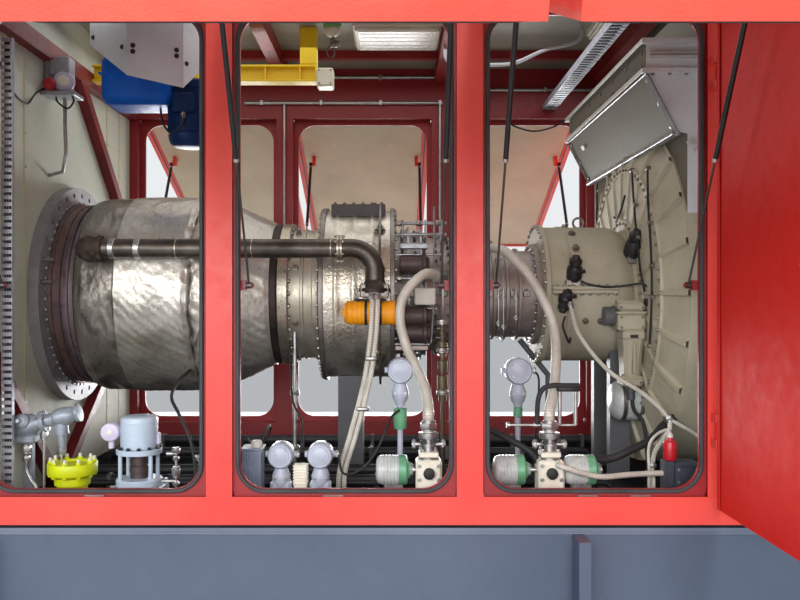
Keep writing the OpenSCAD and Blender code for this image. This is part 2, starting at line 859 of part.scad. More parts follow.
module lube_pump() {
  x = -1.386 * bay_pitch;
  y = -aux_y;
  foot_z = deck_z + 122;
  leg_h = 160;
  plate_z = foot_z + leg_h;
  plate_h = 24;
  can_h = 145;
  gland_len = 70;
  color([0.72, 0.78, 0.84]) {
    block(x - pump_d / 2 - 30, y - pump_d / 2 - 15, deck_z, pump_d + 60, pump_d + 30, foot_z - deck_z);
    for (sx = [-1, 1]) {
      for (sy = [-1, 1]) {
        bar_z(x + sx * pump_d * 0.41, y + sy * pump_d * 0.35, foot_z, leg_h, 11);
      }
    }
    bar_z(x, y, foot_z, leg_h, 36);
    bar_z(x, y, plate_z, plate_h, pump_d / 2 + 20);
    bar_z(x, y, plate_z + plate_h, can_h, pump_d / 2);
    bar_x(x - pump_d / 2 - gland_len + 10, y, plate_z + plate_h + can_h / 2, gland_len, 48);
  }
}

module drain_flange() {
  x = -1.67 * bay_pitch;
  y = -aux_y;
  plate_h = 40;
  gasket_h = 10;
  low_z = deck_z + 140;
  bolt_circle = drain_d / 2 - 16;
  color([0.85, 0.88, 0.12]) {
    bar_z(x, y, deck_z, low_z - deck_z, drain_d * 0.3);
    bar_z(x, y, low_z, plate_h, drain_d / 2);
    bar_z(x, y, low_z + plate_h, gasket_h, drain_d / 2 - 20);
    bar_z(x, y, low_z + plate_h + gasket_h, plate_h, drain_d / 2);
    for (i = [0:9]) {
      a = i * 36;
      bar_z(x + bolt_circle * cos(a), y + bolt_circle * sin(a), low_z + 2 * plate_h + gasket_h, 18, 9);
    }
  }
}

module valve_manifold() {
  x = -1.78 * bay_pitch;
  y = -0.8 * side_y;
  pipe_z = deck_z + 400;
  pipe_len = 300;
  color([0.6, 0.62, 0.62]) {
    block(x - 130, y + 60, deck_z, 40, 40, pipe_z - deck_z + 20);
    bar_x(x - pipe_len / 2, y + 30, pipe_z, pipe_len, 35);
    bar_x(x - 60, y + 30, pipe_z, 30, 60);
    bar_z(x + 60, y + 30, pipe_z - 100, 190, 50);
    bar_y(x - 90, y - 30, pipe_z + 40, 80, 40);
  }
}

module transmitters() {
  y = -aux_y;
  body_z = deck_z + 110;
  body_h = 90;
  neck_h = 15;
  color([0.7, 0.73, 0.75]) {
    for (x = [-0.783 * bay_pitch, -0.615 * bay_pitch]) {
      bar_z(x, y + 20, deck_z, body_z - deck_z, 16);
      block(x - transmitter_d / 2, y - 30, body_z, transmitter_d, 90, body_h);
      bar_z(x, y + 15, body_z + body_h, neck_h, 25);
      bar_y(x, y - 50, body_z + body_h + neck_h / 2 + transmitter_d / 2 - 5, 130, transmitter_d / 2);
    }
    block(-bay_pitch + 60, y - 40, deck_z, 90, 120, 310);
  }
}

module fuel_valves() {
  y = -aux_y;
  body_w = 120;
  body_h = 190;
  cap_h = 30;
  stem_r = 26;
  filter_foot = 130;
  filter_len = 160;
  control_w = 116;
  control_d = 110;
  control_h = 235;
  color(cream) {
    for (x = valve_x) {
      block(x - body_w / 2, y - body_w / 2, deck_z, body_w, body_w, body_h);
      bar_z(x, y, deck_z + body_h, valve_h - cap_h - body_h, stem_r);
      bar_z(x, y, deck_z + valve_h - cap_h, cap_h, 48);
      block(x - 48, y - 48, deck_z + body_h + 40, 96, 96, 40);
    }
  }
  color([0.5, 0.68, 0.6]) {
    for (x = [-0.3 * bay_pitch, 0.2 * bay_pitch, 0.5 * bay_pitch]) {
      block(x - 50, y - 20, deck_z, 90, 60, filter_foot);
      bar_x(x - 86, y + 10, deck_z + filter_foot + filter_d / 2 - 10, filter_len, filter_d / 2);
    }
  }
  color([0.7, 0.1, 0.1]) bar_z(0.873 * bay_pitch, y, deck_z + control_h, 110, 32);
  color([0.25, 0.25, 0.27]) block(0.935 * bay_pitch - control_w / 2, y - 50, deck_z, control_w, control_d, control_h);
}

// Hoses, each clamped at both ends, along routes chosen by hand

// Unit vector along a route at one of its points
function along(p, i) =
  let (a = p[max(i - 1, 0)], b = p[min(i + 1, len(p) - 1)]) (b - a) / norm(b - a);

// Two unit vectors square to a direction
function across(d) =
  let (side = abs(d[1]) < 0.9 ? cross(d, [0, 1, 0]) : cross(d, [1, 0, 0])) side / norm(side);

// Points of a smooth curve through the given points
function smooth_route(p, steps) = [
  for (i = [0:len(p) - 2]) for (k = [0:steps - (i == len(p) - 2 ? 0 : 1)])
    let (
      t = k / steps,
      a = p[max(i - 1, 0)], b = p[i], c = p[i + 1], d = p[min(i + 2, len(p) - 1)]
    )
    0.5 * (2 * b + (c - a) * t + (2 * a - 5 * b + 4 * c - d) * t * t
      + (3 * b - a - 3 * c + d) * t * t * t)
];

// Round hose swept along a smooth route
module hose(points, d) {
  sides = 8;
  p = smooth_route(points, 4);
  n = len(p);
  rings = [
    for (i = [0:n - 1])
      let (t = along(p, i), u = across(t), v = cross(t, u))
        for (k = [0:sides - 1])
          p[i] + d / 2 * (cos(k * 360 / sides) * u + sin(k * 360 / sides) * v)
  ];
  walls = [
    for (i = [0:n - 2]) for (k = [0:sides - 1])
      let (a = i * sides + k, b = i * sides + (k + 1) % sides) [a, a + sides, b + sides, b]
  ];
  tri = [for (q = walls) each [[q[0], q[1], q[2]], [q[0], q[2], q[3]]]];
  first = [for (k = [1:sides - 2]) [0, k, k + 1]];
  last = [for (k = [1:sides - 2]) [(n - 1) * sides, (n - 1) * sides + k + 1, (n - 1) * sides + k]];
  polyhedron(points = rings, faces = concat(tri, first, last), convexity = 6);
}

module hoses() {
  floor_z = deck_z + 1;
  valve_top = deck_z + valve_h + seat;
  s = shaft_z;
  color([0.7, 0.7, 0.68]) {
    for (dx = [0, 28]) {
      hose([
        [-442 + dx, -610, s - 6], [-442 + dx, -642, s - 80], [-452 + dx, -650, 1400], [-485 + dx, -665, 1180],
        [-550 + dx, -690, 930], [-600 + dx, -725, 760], [-605 + dx, -730, floor_z]
      ], 25);
    }
    hose([
      [-100, -480, s + 95], [-180, -590, s + 95], [-280, -640, s - 10], [-300, -650, 1500],
      [-260, -660, 1350], [-185, -830, 1190], [valve_x[0], -aux_y, valve_top + 100],
      [valve_x[0], -aux_y, valve_top + 50], [valve_x[0], -aux_y, valve_top]
    ], hose_d);
    hose([
      [174, -330, s + 250], [240, -520, s + 220], [350, -600, s + 100], [450, -610, 1560],
      [485, -640, 1400], [445, -820, 1200], [valve_x[1], -aux_y, valve_top + 100],
      [valve_x[1], -aux_y, valve_top + 50], [valve_x[1], -aux_y, valve_top]
    ], hose_d);
    hose([
      [600, -430, s - 50], [640, -490, 1420], [765, -580, 1245], [910, -680, 1140],
      [990, -760, 1055], [1012, -790, 990], [980, -790, 930], [938, -790, 860],
      [925, -790, 760], [925, -790, floor_z]
    ], 22);
  }
}

// Hatches and their struts

// One hatch as it hangs when shut, about its hinge line
module shut_leaf(strut_edges) {
  leaf_w = bay_pitch - hatch_gap;
  leaf_h = hatch_len - leaf_start;
  rim = 60;
  for (s = [-1, 1]) {
    difference() {
      union() {
        bar_x(s * hinge_at * bay_pitch - knuckle_len / 2, 0, 0, knuckle_len, knuckle_r);
        block(s * hinge_at * bay_pitch - knuckle_len / 2, -knuckle_r, -leaf_start - 10,
          knuckle_len, knuckle_r, leaf_start + 10);
      }
      bar_x(s * hinge_at * bay_pitch - knuckle_len, 0, 0, 2 * knuckle_len, pin_r + pin_gap);
    }
  }
  translate([-bay_pitch / 2 + hatch_edge, 0, -hatch_len]) {
    difference() {
      block(0, -leaf_out, 0, leaf_w, hatch_t, leaf_h);
      block(rim, leaf_in - 6, rim, leaf_w - 2 * rim, 20, leaf_h - 2 * rim);
    }
  }
  for (s = strut_edges) {
    hatch_bracket(s);
  }
}

// Bracket and stud beside a strut's upper eye
module hatch_bracket(s) {
  w = 24;
  stud_x = bay_pitch / 2 - strut_in - eye_half - pin_gap;
  translate([s > 0 ? stud_x - w : -stud_x, 0, -strut_reach]) {
    translate([0, leaf_in - 6, -30]) cube([w, bracket_in - leaf_in + 6, 60]);
    translate([0, bracket_in, 0]) rotate([0, 90, 0]) cylinder(h = w, r = 16);
  }
}

// One hatch raised on the near side
module raised_hatch(i, near) {
  color(red) translate([(i - 2.5) * bay_pitch, -hinge_y, hinge_z]) rotate([-hatch_open, 0, 0])
    shut_leaf(strut_sides(i, near));
}

// Places a strut's parts at the edges of a bay, along the raised strut
module strut_places(i, near) {
  for (s = strut_sides(i, near)) {
    translate([(i - 2.5) * bay_pitch + s * (bay_pitch / 2 - strut_in), -lower_y, lower_z])
      rotate([strut_tilt, 0, 0]) children();
  }
}

module strut_rod() {
  difference() {
    union() {
      bar_x(-eye_half, 0, 0, 2 * eye_half, eye_r);
      bar_z(0, 0, 8, rod_len - 8, rod_r);
    }
    bar_x(-eye_half - 1, 0, 0, 2 * eye_half + 2, stud_r + pin_gap);
  }
}

module strut_tube_part() {
  top = strut_open_len;
  difference() {
    union() {
      bar_z(0, 0, top - strut_tube, strut_tube - 10, tube_r);
      bar_x(-eye_half, 0, top, 2 * eye_half, eye_r);
    }
    bar_z(0, 0, top - strut_tube - 1, strut_tube - 29, rod_r + pin_gap);
  }
}

module rods(i, near) {
  color([0.55, 0.55, 0.56]) strut_places(i, near) strut_rod();
}

module tubes(i, near) {
  color(black) strut_places(i, near) strut_tube_part();
}

// Side door, standing open square to the enclosure
module side_door() {
  h = door_z1 - door_z0;
  color(red) translate([door_hinge_x, -door_hinge_y, door_z0]) rotate([0, 0, -90]) {
    block(door_start, -door_skin, 0, door_w - door_start, door_t, h);
    for (z = [0.15 * h, 0.85 * h]) {
      difference() {
        union() {
          bar_z(0, 0, z - knuckle_len / 2, knuckle_len, 13);
          block(0, -door_skin, z - knuckle_len / 2, door_start + 5, 20, knuckle_len);
        }
        bar_z(0, 0, z - knuckle_len, 2 * knuckle_len, pin_r + pin_gap);
      }
    }
  }
}

base_frame();
base_flanges();
deck_plate();
near_posts();
far_posts();
sills();
headers();
opening_lips();
roof_panel();
roof_beams();
exhaust_end_wall();
end_wall_braces();
intake_end_wall();
far_end_panel();
exhaust_outlet();
exhaust_flange();
exhaust_diffuser();
insulation_blanket();
turbine_casing();
combustor_casing();
combustor_cover();
bleed_pipe();
starter_cap();
compressor_casing();
vane_linkage();
intake_casing();
accessory_drive();
intake_plenum();
intake_duct();
engine_supports();
lifting_beam();
vent_fan();
vent_duct();
roof_lamps();
cable_trays();
lube_pump();
drain_flange();
valve_manifold();
transmitters();
fuel_valves();
hoses();
side_door();
for (i = [1:3]) {
  raised_hatch(i, true);
  far_side() raised_hatch(i, false);
  rods(i, true);
  far_side() rods(i, false);
  tubes(i, true);
  far_side() tubes(i, false);
}
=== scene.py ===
from math import atan2, cos, hypot, pi, radians, sin

import bpy
import numpy as np
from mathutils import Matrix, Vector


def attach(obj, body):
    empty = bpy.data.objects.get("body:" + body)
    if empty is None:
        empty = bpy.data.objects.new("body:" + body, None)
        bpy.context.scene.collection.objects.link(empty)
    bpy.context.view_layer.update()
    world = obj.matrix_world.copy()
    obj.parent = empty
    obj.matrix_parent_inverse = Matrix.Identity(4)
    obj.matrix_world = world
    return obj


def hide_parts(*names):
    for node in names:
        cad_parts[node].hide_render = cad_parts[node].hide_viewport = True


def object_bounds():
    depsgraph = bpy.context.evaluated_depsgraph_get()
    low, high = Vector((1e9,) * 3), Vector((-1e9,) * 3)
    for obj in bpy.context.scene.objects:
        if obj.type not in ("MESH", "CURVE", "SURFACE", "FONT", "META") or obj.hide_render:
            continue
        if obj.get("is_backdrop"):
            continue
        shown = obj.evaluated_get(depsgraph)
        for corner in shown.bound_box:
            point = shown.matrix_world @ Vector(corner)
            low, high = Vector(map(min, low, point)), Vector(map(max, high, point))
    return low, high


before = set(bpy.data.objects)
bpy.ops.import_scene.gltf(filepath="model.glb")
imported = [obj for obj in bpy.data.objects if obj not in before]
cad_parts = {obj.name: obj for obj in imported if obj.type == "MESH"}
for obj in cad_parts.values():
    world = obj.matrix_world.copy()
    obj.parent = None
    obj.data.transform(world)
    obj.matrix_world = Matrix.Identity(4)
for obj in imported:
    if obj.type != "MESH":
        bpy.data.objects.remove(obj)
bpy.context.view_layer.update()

# Camera and room
# The photograph was taken level, at standing height and square to the long side. A pale
# floor and backdrop, a soft sun from the front and right, and a bright open sky.
photo_w = 800
photo_h = 600
focal_px = 844
film_w = 36
vanishing_px = (391, 301)

camera_data = bpy.data.cameras.new("camera")
camera_data.sensor_width = film_w
camera_data.lens = film_w * focal_px / photo_w
camera_data.shift_x = (photo_w / 2 - vanishing_px[0]) / photo_w
camera_data.shift_y = (vanishing_px[1] - photo_h / 2) / photo_w
camera = bpy.data.objects.new("camera", camera_data)
camera.location = (-0.346, -4.9, 1.6)
camera.rotation_euler = (radians(90), 0, 0)
bpy.context.scene.collection.objects.link(camera)
bpy.context.scene.camera = camera
bpy.context.scene.view_settings.view_transform = "Standard"


def linear(r, g, b):
    """Screen colour from 0 to 255 as the linear colour that a shader takes."""
    c = np.array((r, g, b)) / 255
    c = np.where(c <= 0.04045, c / 12.92, ((c + 0.055) / 1.055) ** 2.4)
    return (float(c[0]), float(c[1]), float(c[2]), 1)


def lamp(name, kind, energy, place, aim, size, size_y=None, spread=120):
    """A lamp at a place, turned to shine at another point."""
    data = bpy.data.lights.new(name, kind)
    data.energy = energy
    if kind == "SUN":
        data.angle = size
    else:
        data.shape = "RECTANGLE"
        data.size = size
        data.size_y = size_y
        data.spread = radians(spread)
    thing = bpy.data.objects.new(name, data)
    thing.location = place
    way = np.array(aim, float) - np.array(place, float)
    flat = hypot(way[0], way[1])
    thing.rotation_euler = (atan2(flat, -way[2]), 0, atan2(-way[0], way[1]))
    bpy.context.scene.collection.objects.link(thing)
    return thing


lamp("sun", "SUN", 0.8, (1, -9, 8), (0, 0, 1.5), radians(9))
lamp("front_panel", "AREA", 235, (-1.5, -7.3, 2.8), (0.2, 0, 1.6), 8, 2.6)
lamp("back_panel", "AREA", 440, (0, 7.5, 1), (0, 0, 2.4), 9, 2)
roof_light = lamp("roof_light", "AREA", 20, (-0.2, 0, 3.12), (-0.2, 0, 0), 3.8, 1.6, 180)
roof_light.visible_camera = False


def feed(tree, made, inputs):
    """Gives a node's inputs, by name or number, their links or fixed values."""
    for key, value in inputs.items():
        if isinstance(value, bpy.types.NodeSocket):
            tree.links.new(value, made.inputs[key])
        else:
            made.inputs[key].default_value = value


def node(tree, kind, inputs=None, **settings):
    """A shader node of one kind, with its inputs fed and its settings made."""
    made = tree.nodes.new("ShaderNode" + kind)
    for key, value in settings.items():
        setattr(made, key, value)
    feed(tree, made, inputs or {})
    return made


def calculated(tree, operation, *values):
    """Result of a math node on links or fixed values."""
    return node(tree, "Math", dict(enumerate(values)), operation=operation).outputs[0]


def new_finish(name):
    """A plain finish, with its node tree and its shader."""
    finish = bpy.data.materials.new(name)
    finish.use_nodes = True
    return finish, finish.node_tree, finish.node_tree.nodes["Principled BSDF"]


world = bpy.data.worlds.new("sky")
world.use_nodes = True
bpy.context.scene.world = world
sky = world.node_tree
feed(sky, sky.nodes["Background"], {"Color": linear(225, 232, 240), "Strength": 0.62})
seen_sky = node(sky, "Background", {"Color": linear(235, 238, 241), "Strength": 1})
ray = node(sky, "LightPath").outputs
seen = 0
for kind in ("Is Camera Ray", "Is Glossy Ray", "Is Transmission Ray"):
    seen = calculated(sky, "MAXIMUM", ray[kind], seen)
sky_mix = node(sky, "MixShader", {0: seen, 1: sky.nodes["Background"].outputs[0], 2: seen_sky.outputs[0]})
feed(sky, sky.nodes["World Output"], {"Surface": sky_mix.outputs[0]})

floor_half = 40
floor_mesh = bpy.data.meshes.new("floor")
floor_mesh.from_pydata([(-floor_half, -floor_half, 0), (floor_half, -floor_half, 0),
        (floor_half, floor_half, 0), (-floor_half, floor_half, 0)], [], [(0, 1, 2, 3)])
floor = bpy.data.objects.new("floor", floor_mesh)
bpy.context.scene.collection.objects.link(floor)
floor_finish, floor_tree, floor_shader = new_finish("pale_floor")
feed(floor_tree, floor_shader, {"Base Color": linear(214, 214, 212), "Roughness": 0.9})
floor_mesh.materials.append(floor_finish)
floor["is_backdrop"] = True

# Base frame and deck
# Two deep channels tied by cross members, with guide posts outside, all welded plate with a
# thick coat of blue-grey paint that has gone dull and dusty low down; the frame set back under the flanges
# takes a darker grey-blue as painted shade. The deck plate is dark.


def patches(tree, size, detail=4, stretch=(1, 1, 1), rough=0.55):
    """Cloudy noise over the object's own metres, with patches about size across."""
    place = node(tree, "TexCoord").outputs["Object"]
    place = node(tree, "Mapping", {"Vector": place, "Scale": stretch}).outputs[0]
    inputs = {"Vector": place, "Scale": 1 / size, "Detail": detail, "Roughness": rough}
    return node(tree, "TexNoise", inputs).outputs["Fac"]


def remap(tree, value, low, high, to_low, to_high):
    """Value stretched from one range to another."""
    inputs = {"Value": value, "From Min": low, "From Max": high, "To Min": to_low, "To Max": to_high}
    return node(tree, "MapRange", inputs).outputs[0]


def blend_colours(tree, share, first, second):
    """Mix of two colours, either of them a link or a fixed colour."""
    return node(tree, "Mix", {"Factor": share, 6: first, 7: second}, data_type="RGBA").outputs[2]


def rough_surface(tree, height, depth):
    """Bump of a given depth in metres from a height between 0 and 1."""
    bump = node(tree, "Bump", {"Height": height, "Strength": 1, "Distance": depth})
    feed(tree, tree.nodes["Principled BSDF"], {"Normal": bump.outputs[0]})


def coat(name, colour, aged, patch=0.5, rough=0.4, metal=0, peel=0.006, depth=0.0006, stretch=(1, 1, 1),
        dust=0.25, dirt=(60, 55, 50), specular=0.5):
    """Paint or metal: two tones in patches, fine specks of dirt, and a slightly uneven skin."""
    finish, tree, shader = new_finish(name)
    broad = remap(tree, patches(tree, patch, stretch=stretch), 0.35, 0.65, 0, 1)
    fine = patches(tree, patch / 12, 6, stretch, 0.7)
    base = blend_colours(tree, broad, linear(*colour), linear(*aged))
    base = blend_colours(tree, remap(tree, fine, 0.56, 0.8, 0, dust), base, linear(*dirt))
    shine = remap(tree, fine, 0.3, 0.7, rough - 0.07, rough + 0.12)
    feed(tree, shader, {"Base Color": base, "Metallic": metal, "Roughness": shine,
            "Specular IOR Level": specular})
    rough_surface(tree, patches(tree, peel, 3), depth)
    return finish


def cover_node(finish, *names):
    """Gives CAD nodes one finish all over."""
    for name in names:
        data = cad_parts[name].data
        data.materials.clear()
        data.materials.append(finish)


base_paint = coat("base_grey_paint", (112, 122, 138), (92, 103, 122), 0.9, 0.5, dust=0.2, dirt=(70, 70, 78))
deck_paint = coat("deck_dark_paint", (34, 36, 42), (22, 24, 29), 0.3, 0.8, specular=0.1)
# The set-back frame takes a darker copy of the base grey: painted shade.
web_shade_paint = coat("base_web_painted_shade", (80, 92, 112), (70, 82, 102), 0.9, 0.5, dust=0.2, dirt=(60, 62, 72))
cover_node(base_paint, "base_flanges")
cover_node(web_shade_paint, "base_frame")
cover_node(deck_paint, "deck_plate")

# Shapes shared by the pieces below: each is points with faces, worked out on a grid


def loft(grid, around=True, along=False, ends=True):
    """Surface through a grid of points, rows by columns, with columns closed round when around
    and rows closed when along, and with a fan of triangles over each open end. The faces of a
    closed shape are turned outwards, which its volume, summed from the origin, tells."""
    grid = np.array(grid, float)
    rows, cols = grid.shape[:2]
    r = np.arange(rows if along else rows - 1)[:, None]
    c = np.arange(cols if around else cols - 1)[None, :]
    r1, c1 = (r + 1) % rows, (c + 1) % cols
    quads = np.stack([r * cols + c, r1 * cols + c, r1 * cols + c1, r * cols + c1], -1).reshape(-1, 4)
    points = grid.reshape(-1, 3)
    faces = [quads]
    if around and ends and not along:
        middle = np.array([grid[0].mean(0), grid[-1].mean(0)])
        k = np.arange(cols)
        k1 = (k + 1) % cols
        n = len(points)
        first = np.stack([np.full(cols, n), k, k1], -1)
        last = np.stack([np.full(cols, n + 1), (rows - 1) * cols + k1, (rows - 1) * cols + k], -1)
        points = np.vstack([points, middle])
        faces += [first, last]
    if around and (ends or along):
        size = 0
        for f in faces:
            for k in range(1, f.shape[1] - 1):
                size += np.sum(points[f[:, 0]] * np.cross(points[f[:, k]], points[f[:, k + 1]]))
        if size < 0:
            faces = [f[:, ::-1] for f in faces]
    return points, faces


up, right, left, front = (0, 0, 1), (1, 0, 0), (-1, 0, 0), (0, -1, 0)


def square_to(axis):
    """Two unit vectors square to an axis and to each other."""
    axis = np.array(axis, float) / np.linalg.norm(axis)
    helper = np.eye(3)[np.argmin(np.abs(axis))]
    first = np.cross(axis, helper)
    first /= np.linalg.norm(first)
    return axis, first, np.cross(axis, first)


def turned(profile, centre, axis=(1, 0, 0), sides=48, ring=False):
    """Profile of (distance along, radius) turned round an axis through centre. A ring's profile
    is closed, and runs outside first, then back along the bore."""
    axis, u, v = square_to(axis)
    profile = np.array(profile, float)
    a = np.linspace(0, -2 * pi, sides, endpoint=False)
    spokes = np.cos(a)[:, None] * u + np.sin(a)[:, None] * v
    grid = np.array(centre, float) + profile[:, 0, None, None] * axis + profile[:, 1, None, None] * spokes
    return loft(grid, along=ring)


def tube(path, radius, sides=12, closed=False):
    """Round section carried along a path. The section's first side is square to the path and
    to the direction in which the path spreads least. Each face corner's lay is its share of
    the way round and its distance along in metres."""
    path = np.array(path, float)
    step = np.roll(path, -1, 0) - np.roll(path, 1, 0) if closed else np.gradient(path, axis=0)
    way = step / np.linalg.norm(step, axis=1)[:, None]
    flat = np.linalg.svd(path - path.mean(0))[2][-1]
    side = np.cross(way, flat)
    side /= np.linalg.norm(side, axis=1)[:, None]
    lift = np.cross(side, way)
    a = np.linspace(0, 2 * pi, sides, endpoint=False)
    r = np.broadcast_to(radius, len(path))[:, None, None]
    grid = path[:, None] + r * (np.cos(a)[None, :, None] * side[:, None] + np.sin(a)[None, :, None]
        * lift[:, None])
    points, faces = loft(grid, along=closed)
    along = np.concatenate([[0], np.cumsum(np.linalg.norm(np.diff(path, axis=0), axis=1))])
    along = np.append(along, along[-1] + np.linalg.norm(path[0] - path[-1]))
    row, column = np.divmod(np.arange(len(faces[0])), sides)
    lay = np.stack([np.stack([(column + c) / sides, along[row + q]], -1) for c, q in ((0, 0), (0, 1), (1, 1),
            (1, 0))], 1)
    return points, faces, [lay] + [np.zeros(f.shape + (2,)) for f in faces[1:]]


def eased(points, steps=6):
    """Smooth curve through points: between two of them, a cubic that keeps the slope from the
    point before to the point after."""
    p = np.array(points, float)
    p = np.vstack([2 * p[0] - p[1], p, 2 * p[-1] - p[-2]])
    t = np.linspace(0, 1, steps, endpoint=False)[:, None, None]
    a, b, c, d = p[:-3], p[1:-2], p[2:-1], p[3:]
    q = 0.5 * (2 * b + (c - a) * t + (2 * a - 5 * b + 4 * c - d) * t ** 2 + (3 * b - a - 3 * c + d) * t ** 3)
    return np.vstack([q.transpose(1, 0, 2).reshape(-1, 3), p[-2]])


def hose_run(points, radius, sides=10, steps=10):
    """Hose, cable or small pipe along a smooth curve through points."""
    return tube(eased(points, steps), radius, sides)


def union_nut(place, way, radius, length=0.03):
    """Hexagon nut with a collar on each side, on a hose or small pipe."""
    place, way = np.array(place, float), np.array(way, float) / np.linalg.norm(way)
    return joined([turned([(0, radius * 1.25), (length, radius * 1.25)], place - way * length / 2, way, 16),
            turned([(0, radius * 1.5), (length * 0.1, radius * 1.6), (length * 0.5, radius * 1.6),
            (length * 0.6, radius * 1.5)], place - way * length * 0.3, way, 6)])


def rod(start, end, radius, sides=16):
    """Straight round bar between two points."""
    start, end = np.array(start, float), np.array(end, float)
    return turned([(0, radius), (np.linalg.norm(end - start), radius)], start, end - start, sides)


def slab(low, high, chamfer=0.002):
    """Block with cut edges between two opposite corners: each corner is three points, one in
    each face, and every face is turned to point away from the middle."""
    low, high = np.sort(np.array([low, high], float), axis=0)
    signs = np.array([[x, y, z] for x in (-1, 1) for y in (-1, 1) for z in (-1, 1)])
    inset = chamfer * (1 - np.eye(3))
    points = np.vstack([signs * ((high - low) / 2 - inset[a]) for a in range(3)])
    same = [[i for i in range(8) if signs[i, a] == s] for a in range(3) for s in (-1, 1)]
    quads = [[a // 2 * 8 + c[i] for i in (0, 1, 3, 2)] for a, c in enumerate(same)]
    for a in range(3):
        b, c = (a + 1) % 3, (a + 2) % 3
        for i in range(8):
            j = next(k for k in range(8) if (signs[k] == signs[i] * (1 - 2 * np.eye(3)[c])).all())
            if signs[i, c] < 0:
                quads.append([a * 8 + i, b * 8 + i, b * 8 + j, a * 8 + j])
    out = []
    for face in (np.array(quads), np.arange(24).reshape(3, 8).T.copy()):
        p = points[face]
        turn = np.einsum("ij,ij->i", np.cross(p[:, 1] - p[:, 0], p[:, 2] - p[:, 0]), p.mean(1)) < 0
        face[turn] = face[turn][:, ::-1]
        out.append(face)
    return points + (low + high) / 2, out


def bolts(places, way, across=0.014, height=0.01, washer=0.003):
    """Hexagon heads on washers, standing on places and pointing one way."""
    shapes = []
    for place in places:
        r = across / 2 / cos(pi / 6)
        shapes.append(turned([(0, r * 1.2), (washer, r * 1.2)], place, way, 12))
        shapes.append(turned([(washer, r), (height * 0.85, r), (height, r * 0.86)], place, way, 6))
    return joined(shapes)


def joined(shapes):
    """Several shapes as one."""
    points, faces, lays, count = [], [], [], 0
    for p, f, *lay in shapes:
        points.append(p)
        faces += [face + count for face in f]
        lays += lay[0] if lay else [np.zeros(face.shape + (2,)) for face in f]
        count += len(p)
    return np.vstack(points), faces, lays


shaft_z = 1.64


def ring_places(x, radius, count, start=0):
    """Points evenly round the shaft line at one station."""
    a = start + np.arange(count) * 2 * pi / count
    return np.stack([np.full(count, x), radius * np.sin(a), shaft_z + radius * np.cos(a)], -1)


def spoke(x, radius, a):
    """Direction square to the shaft line at an angle from straight up, and a point that way."""
    way = np.array((0, sin(a), cos(a)))
    return way, np.array((x, 0, shaft_z)) + way * radius


def add_piece(name, parts, body="root", crease=35, replaces=(), values=None):
    """One object out of shapes or lists of them, each given with its finish. Faces meet smoothly where they
    turn by less than crease degrees. Values are named numbers, one for each point."""
    finishes, points, sizes, corners, which, lays, count = [], [], [], [], [], [], 0
    for shapes, finish in parts:
        p, faces, *lay = joined(shapes) if isinstance(shapes, list) else shapes
        if finish not in finishes:
            finishes.append(finish)
        points.append(p)
        for face in faces:
            corners.append((face + count).ravel())
            sizes.append(np.full(len(face), face.shape[1]))
            which.append(np.full(len(face), finishes.index(finish)))
        lays += [part.reshape(-1, 2) for part in lay[0]] if lay else [np.zeros((f.size, 2)) for f in faces]
        count += len(p)
    points, corners = np.vstack(points), np.concatenate(corners)
    sizes, which = np.concatenate(sizes), np.concatenate(which)
    mesh = bpy.data.meshes.new(name)
    mesh.vertices.add(len(points))
    mesh.vertices.foreach_set("co", points.astype(np.float32).ravel())
    mesh.loops.add(len(corners))
    mesh.loops.foreach_set("vertex_index", corners.astype(np.int32))
    mesh.polygons.add(len(sizes))
    mesh.polygons.foreach_set("loop_start", (np.cumsum(sizes) - sizes).astype(np.int32))
    mesh.polygons.foreach_set("material_index", which.astype(np.int32))
    mesh.update(calc_edges=True)
    mesh.uv_layers.new(name="lay").data.foreach_set("uv", np.vstack(lays).astype(np.float32).ravel())
    for title, numbers in (values or {}).items():
        mesh.attributes.new(title, "FLOAT", "POINT").data.foreach_set("value", numbers.astype(np.float32))
    mesh.validate()
    for finish in finishes:
        mesh.materials.append(finish)
    mesh.shade_smooth()
    mesh.set_sharp_from_angle(angle=radians(crease))
    thing = bpy.data.objects.new(name, mesh)
    bpy.context.scene.collection.objects.link(thing)
    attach(thing, body)
    if replaces:
        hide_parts(*replaces)
    return thing


# Enclosure frame
# Square red posts, sill and header beams with a roof and a fixed end panel, welded and
# painted gloss red. Light steel strike plates for the hatch latches sit on the sill.
enclosure_red = coat("enclosure_red_paint", (232, 72, 62), (220, 60, 52), 0.7, 0.38, dust=0.12,
    dirt=(150, 60, 55))
# Roof beams inside take a darker red: partly a darker inner paint, partly painted shade.
inner_shade_red = coat("inner_red_paint_and_shade", (150, 30, 34), (128, 24, 28), 0.4, 0.45, dust=0.2)
bright_steel = coat("bright_steel", (190, 190, 188), (165, 166, 166), 0.05, 0.32, 0.9, dust=0.1)
frame_red = coat("frame_red_paint", (234, 76, 66), (222, 64, 56), 0.7, 0.38, dust=0.12, dirt=(150, 60, 55))


def inner_paint_and_shade(finish, limits, colour):
    """Gives a finish another colour where X and Y lie closer to the middle than the limits: a tone inside
    that paints in shade.
    """
    tree = finish.node_tree
    parts = node(tree, "SeparateXYZ", {0: node(tree, "TexCoord").outputs["Object"]}).outputs
    shares = [remap(tree, calculated(tree, "ABSOLUTE", parts[axis]), limit - 0.0005, limit, 1, 0) for axis,
        limit in limits]
    inside = calculated(tree, "MINIMUM", shares[0], shares[-1])
    shader = tree.nodes["Principled BSDF"]
    outside = shader.inputs["Base Color"].links[0].from_socket
    feed(tree, shader, {"Base Color": blend_colours(tree, inside, outside, linear(*colour))})


# The frame's inner faces take a darker red: partly a darker inner paint, partly painted shade.
inner_paint_and_shade(frame_red, (("X", 2.2565), ("Y", 1.199)), (136, 26, 32))
cover_node(frame_red, "near_posts", "far_posts", "sills", "headers")
cover_node(enclosure_red, "roof_panel", "far_end_panel")
cover_node(inner_shade_red, "roof_beams")

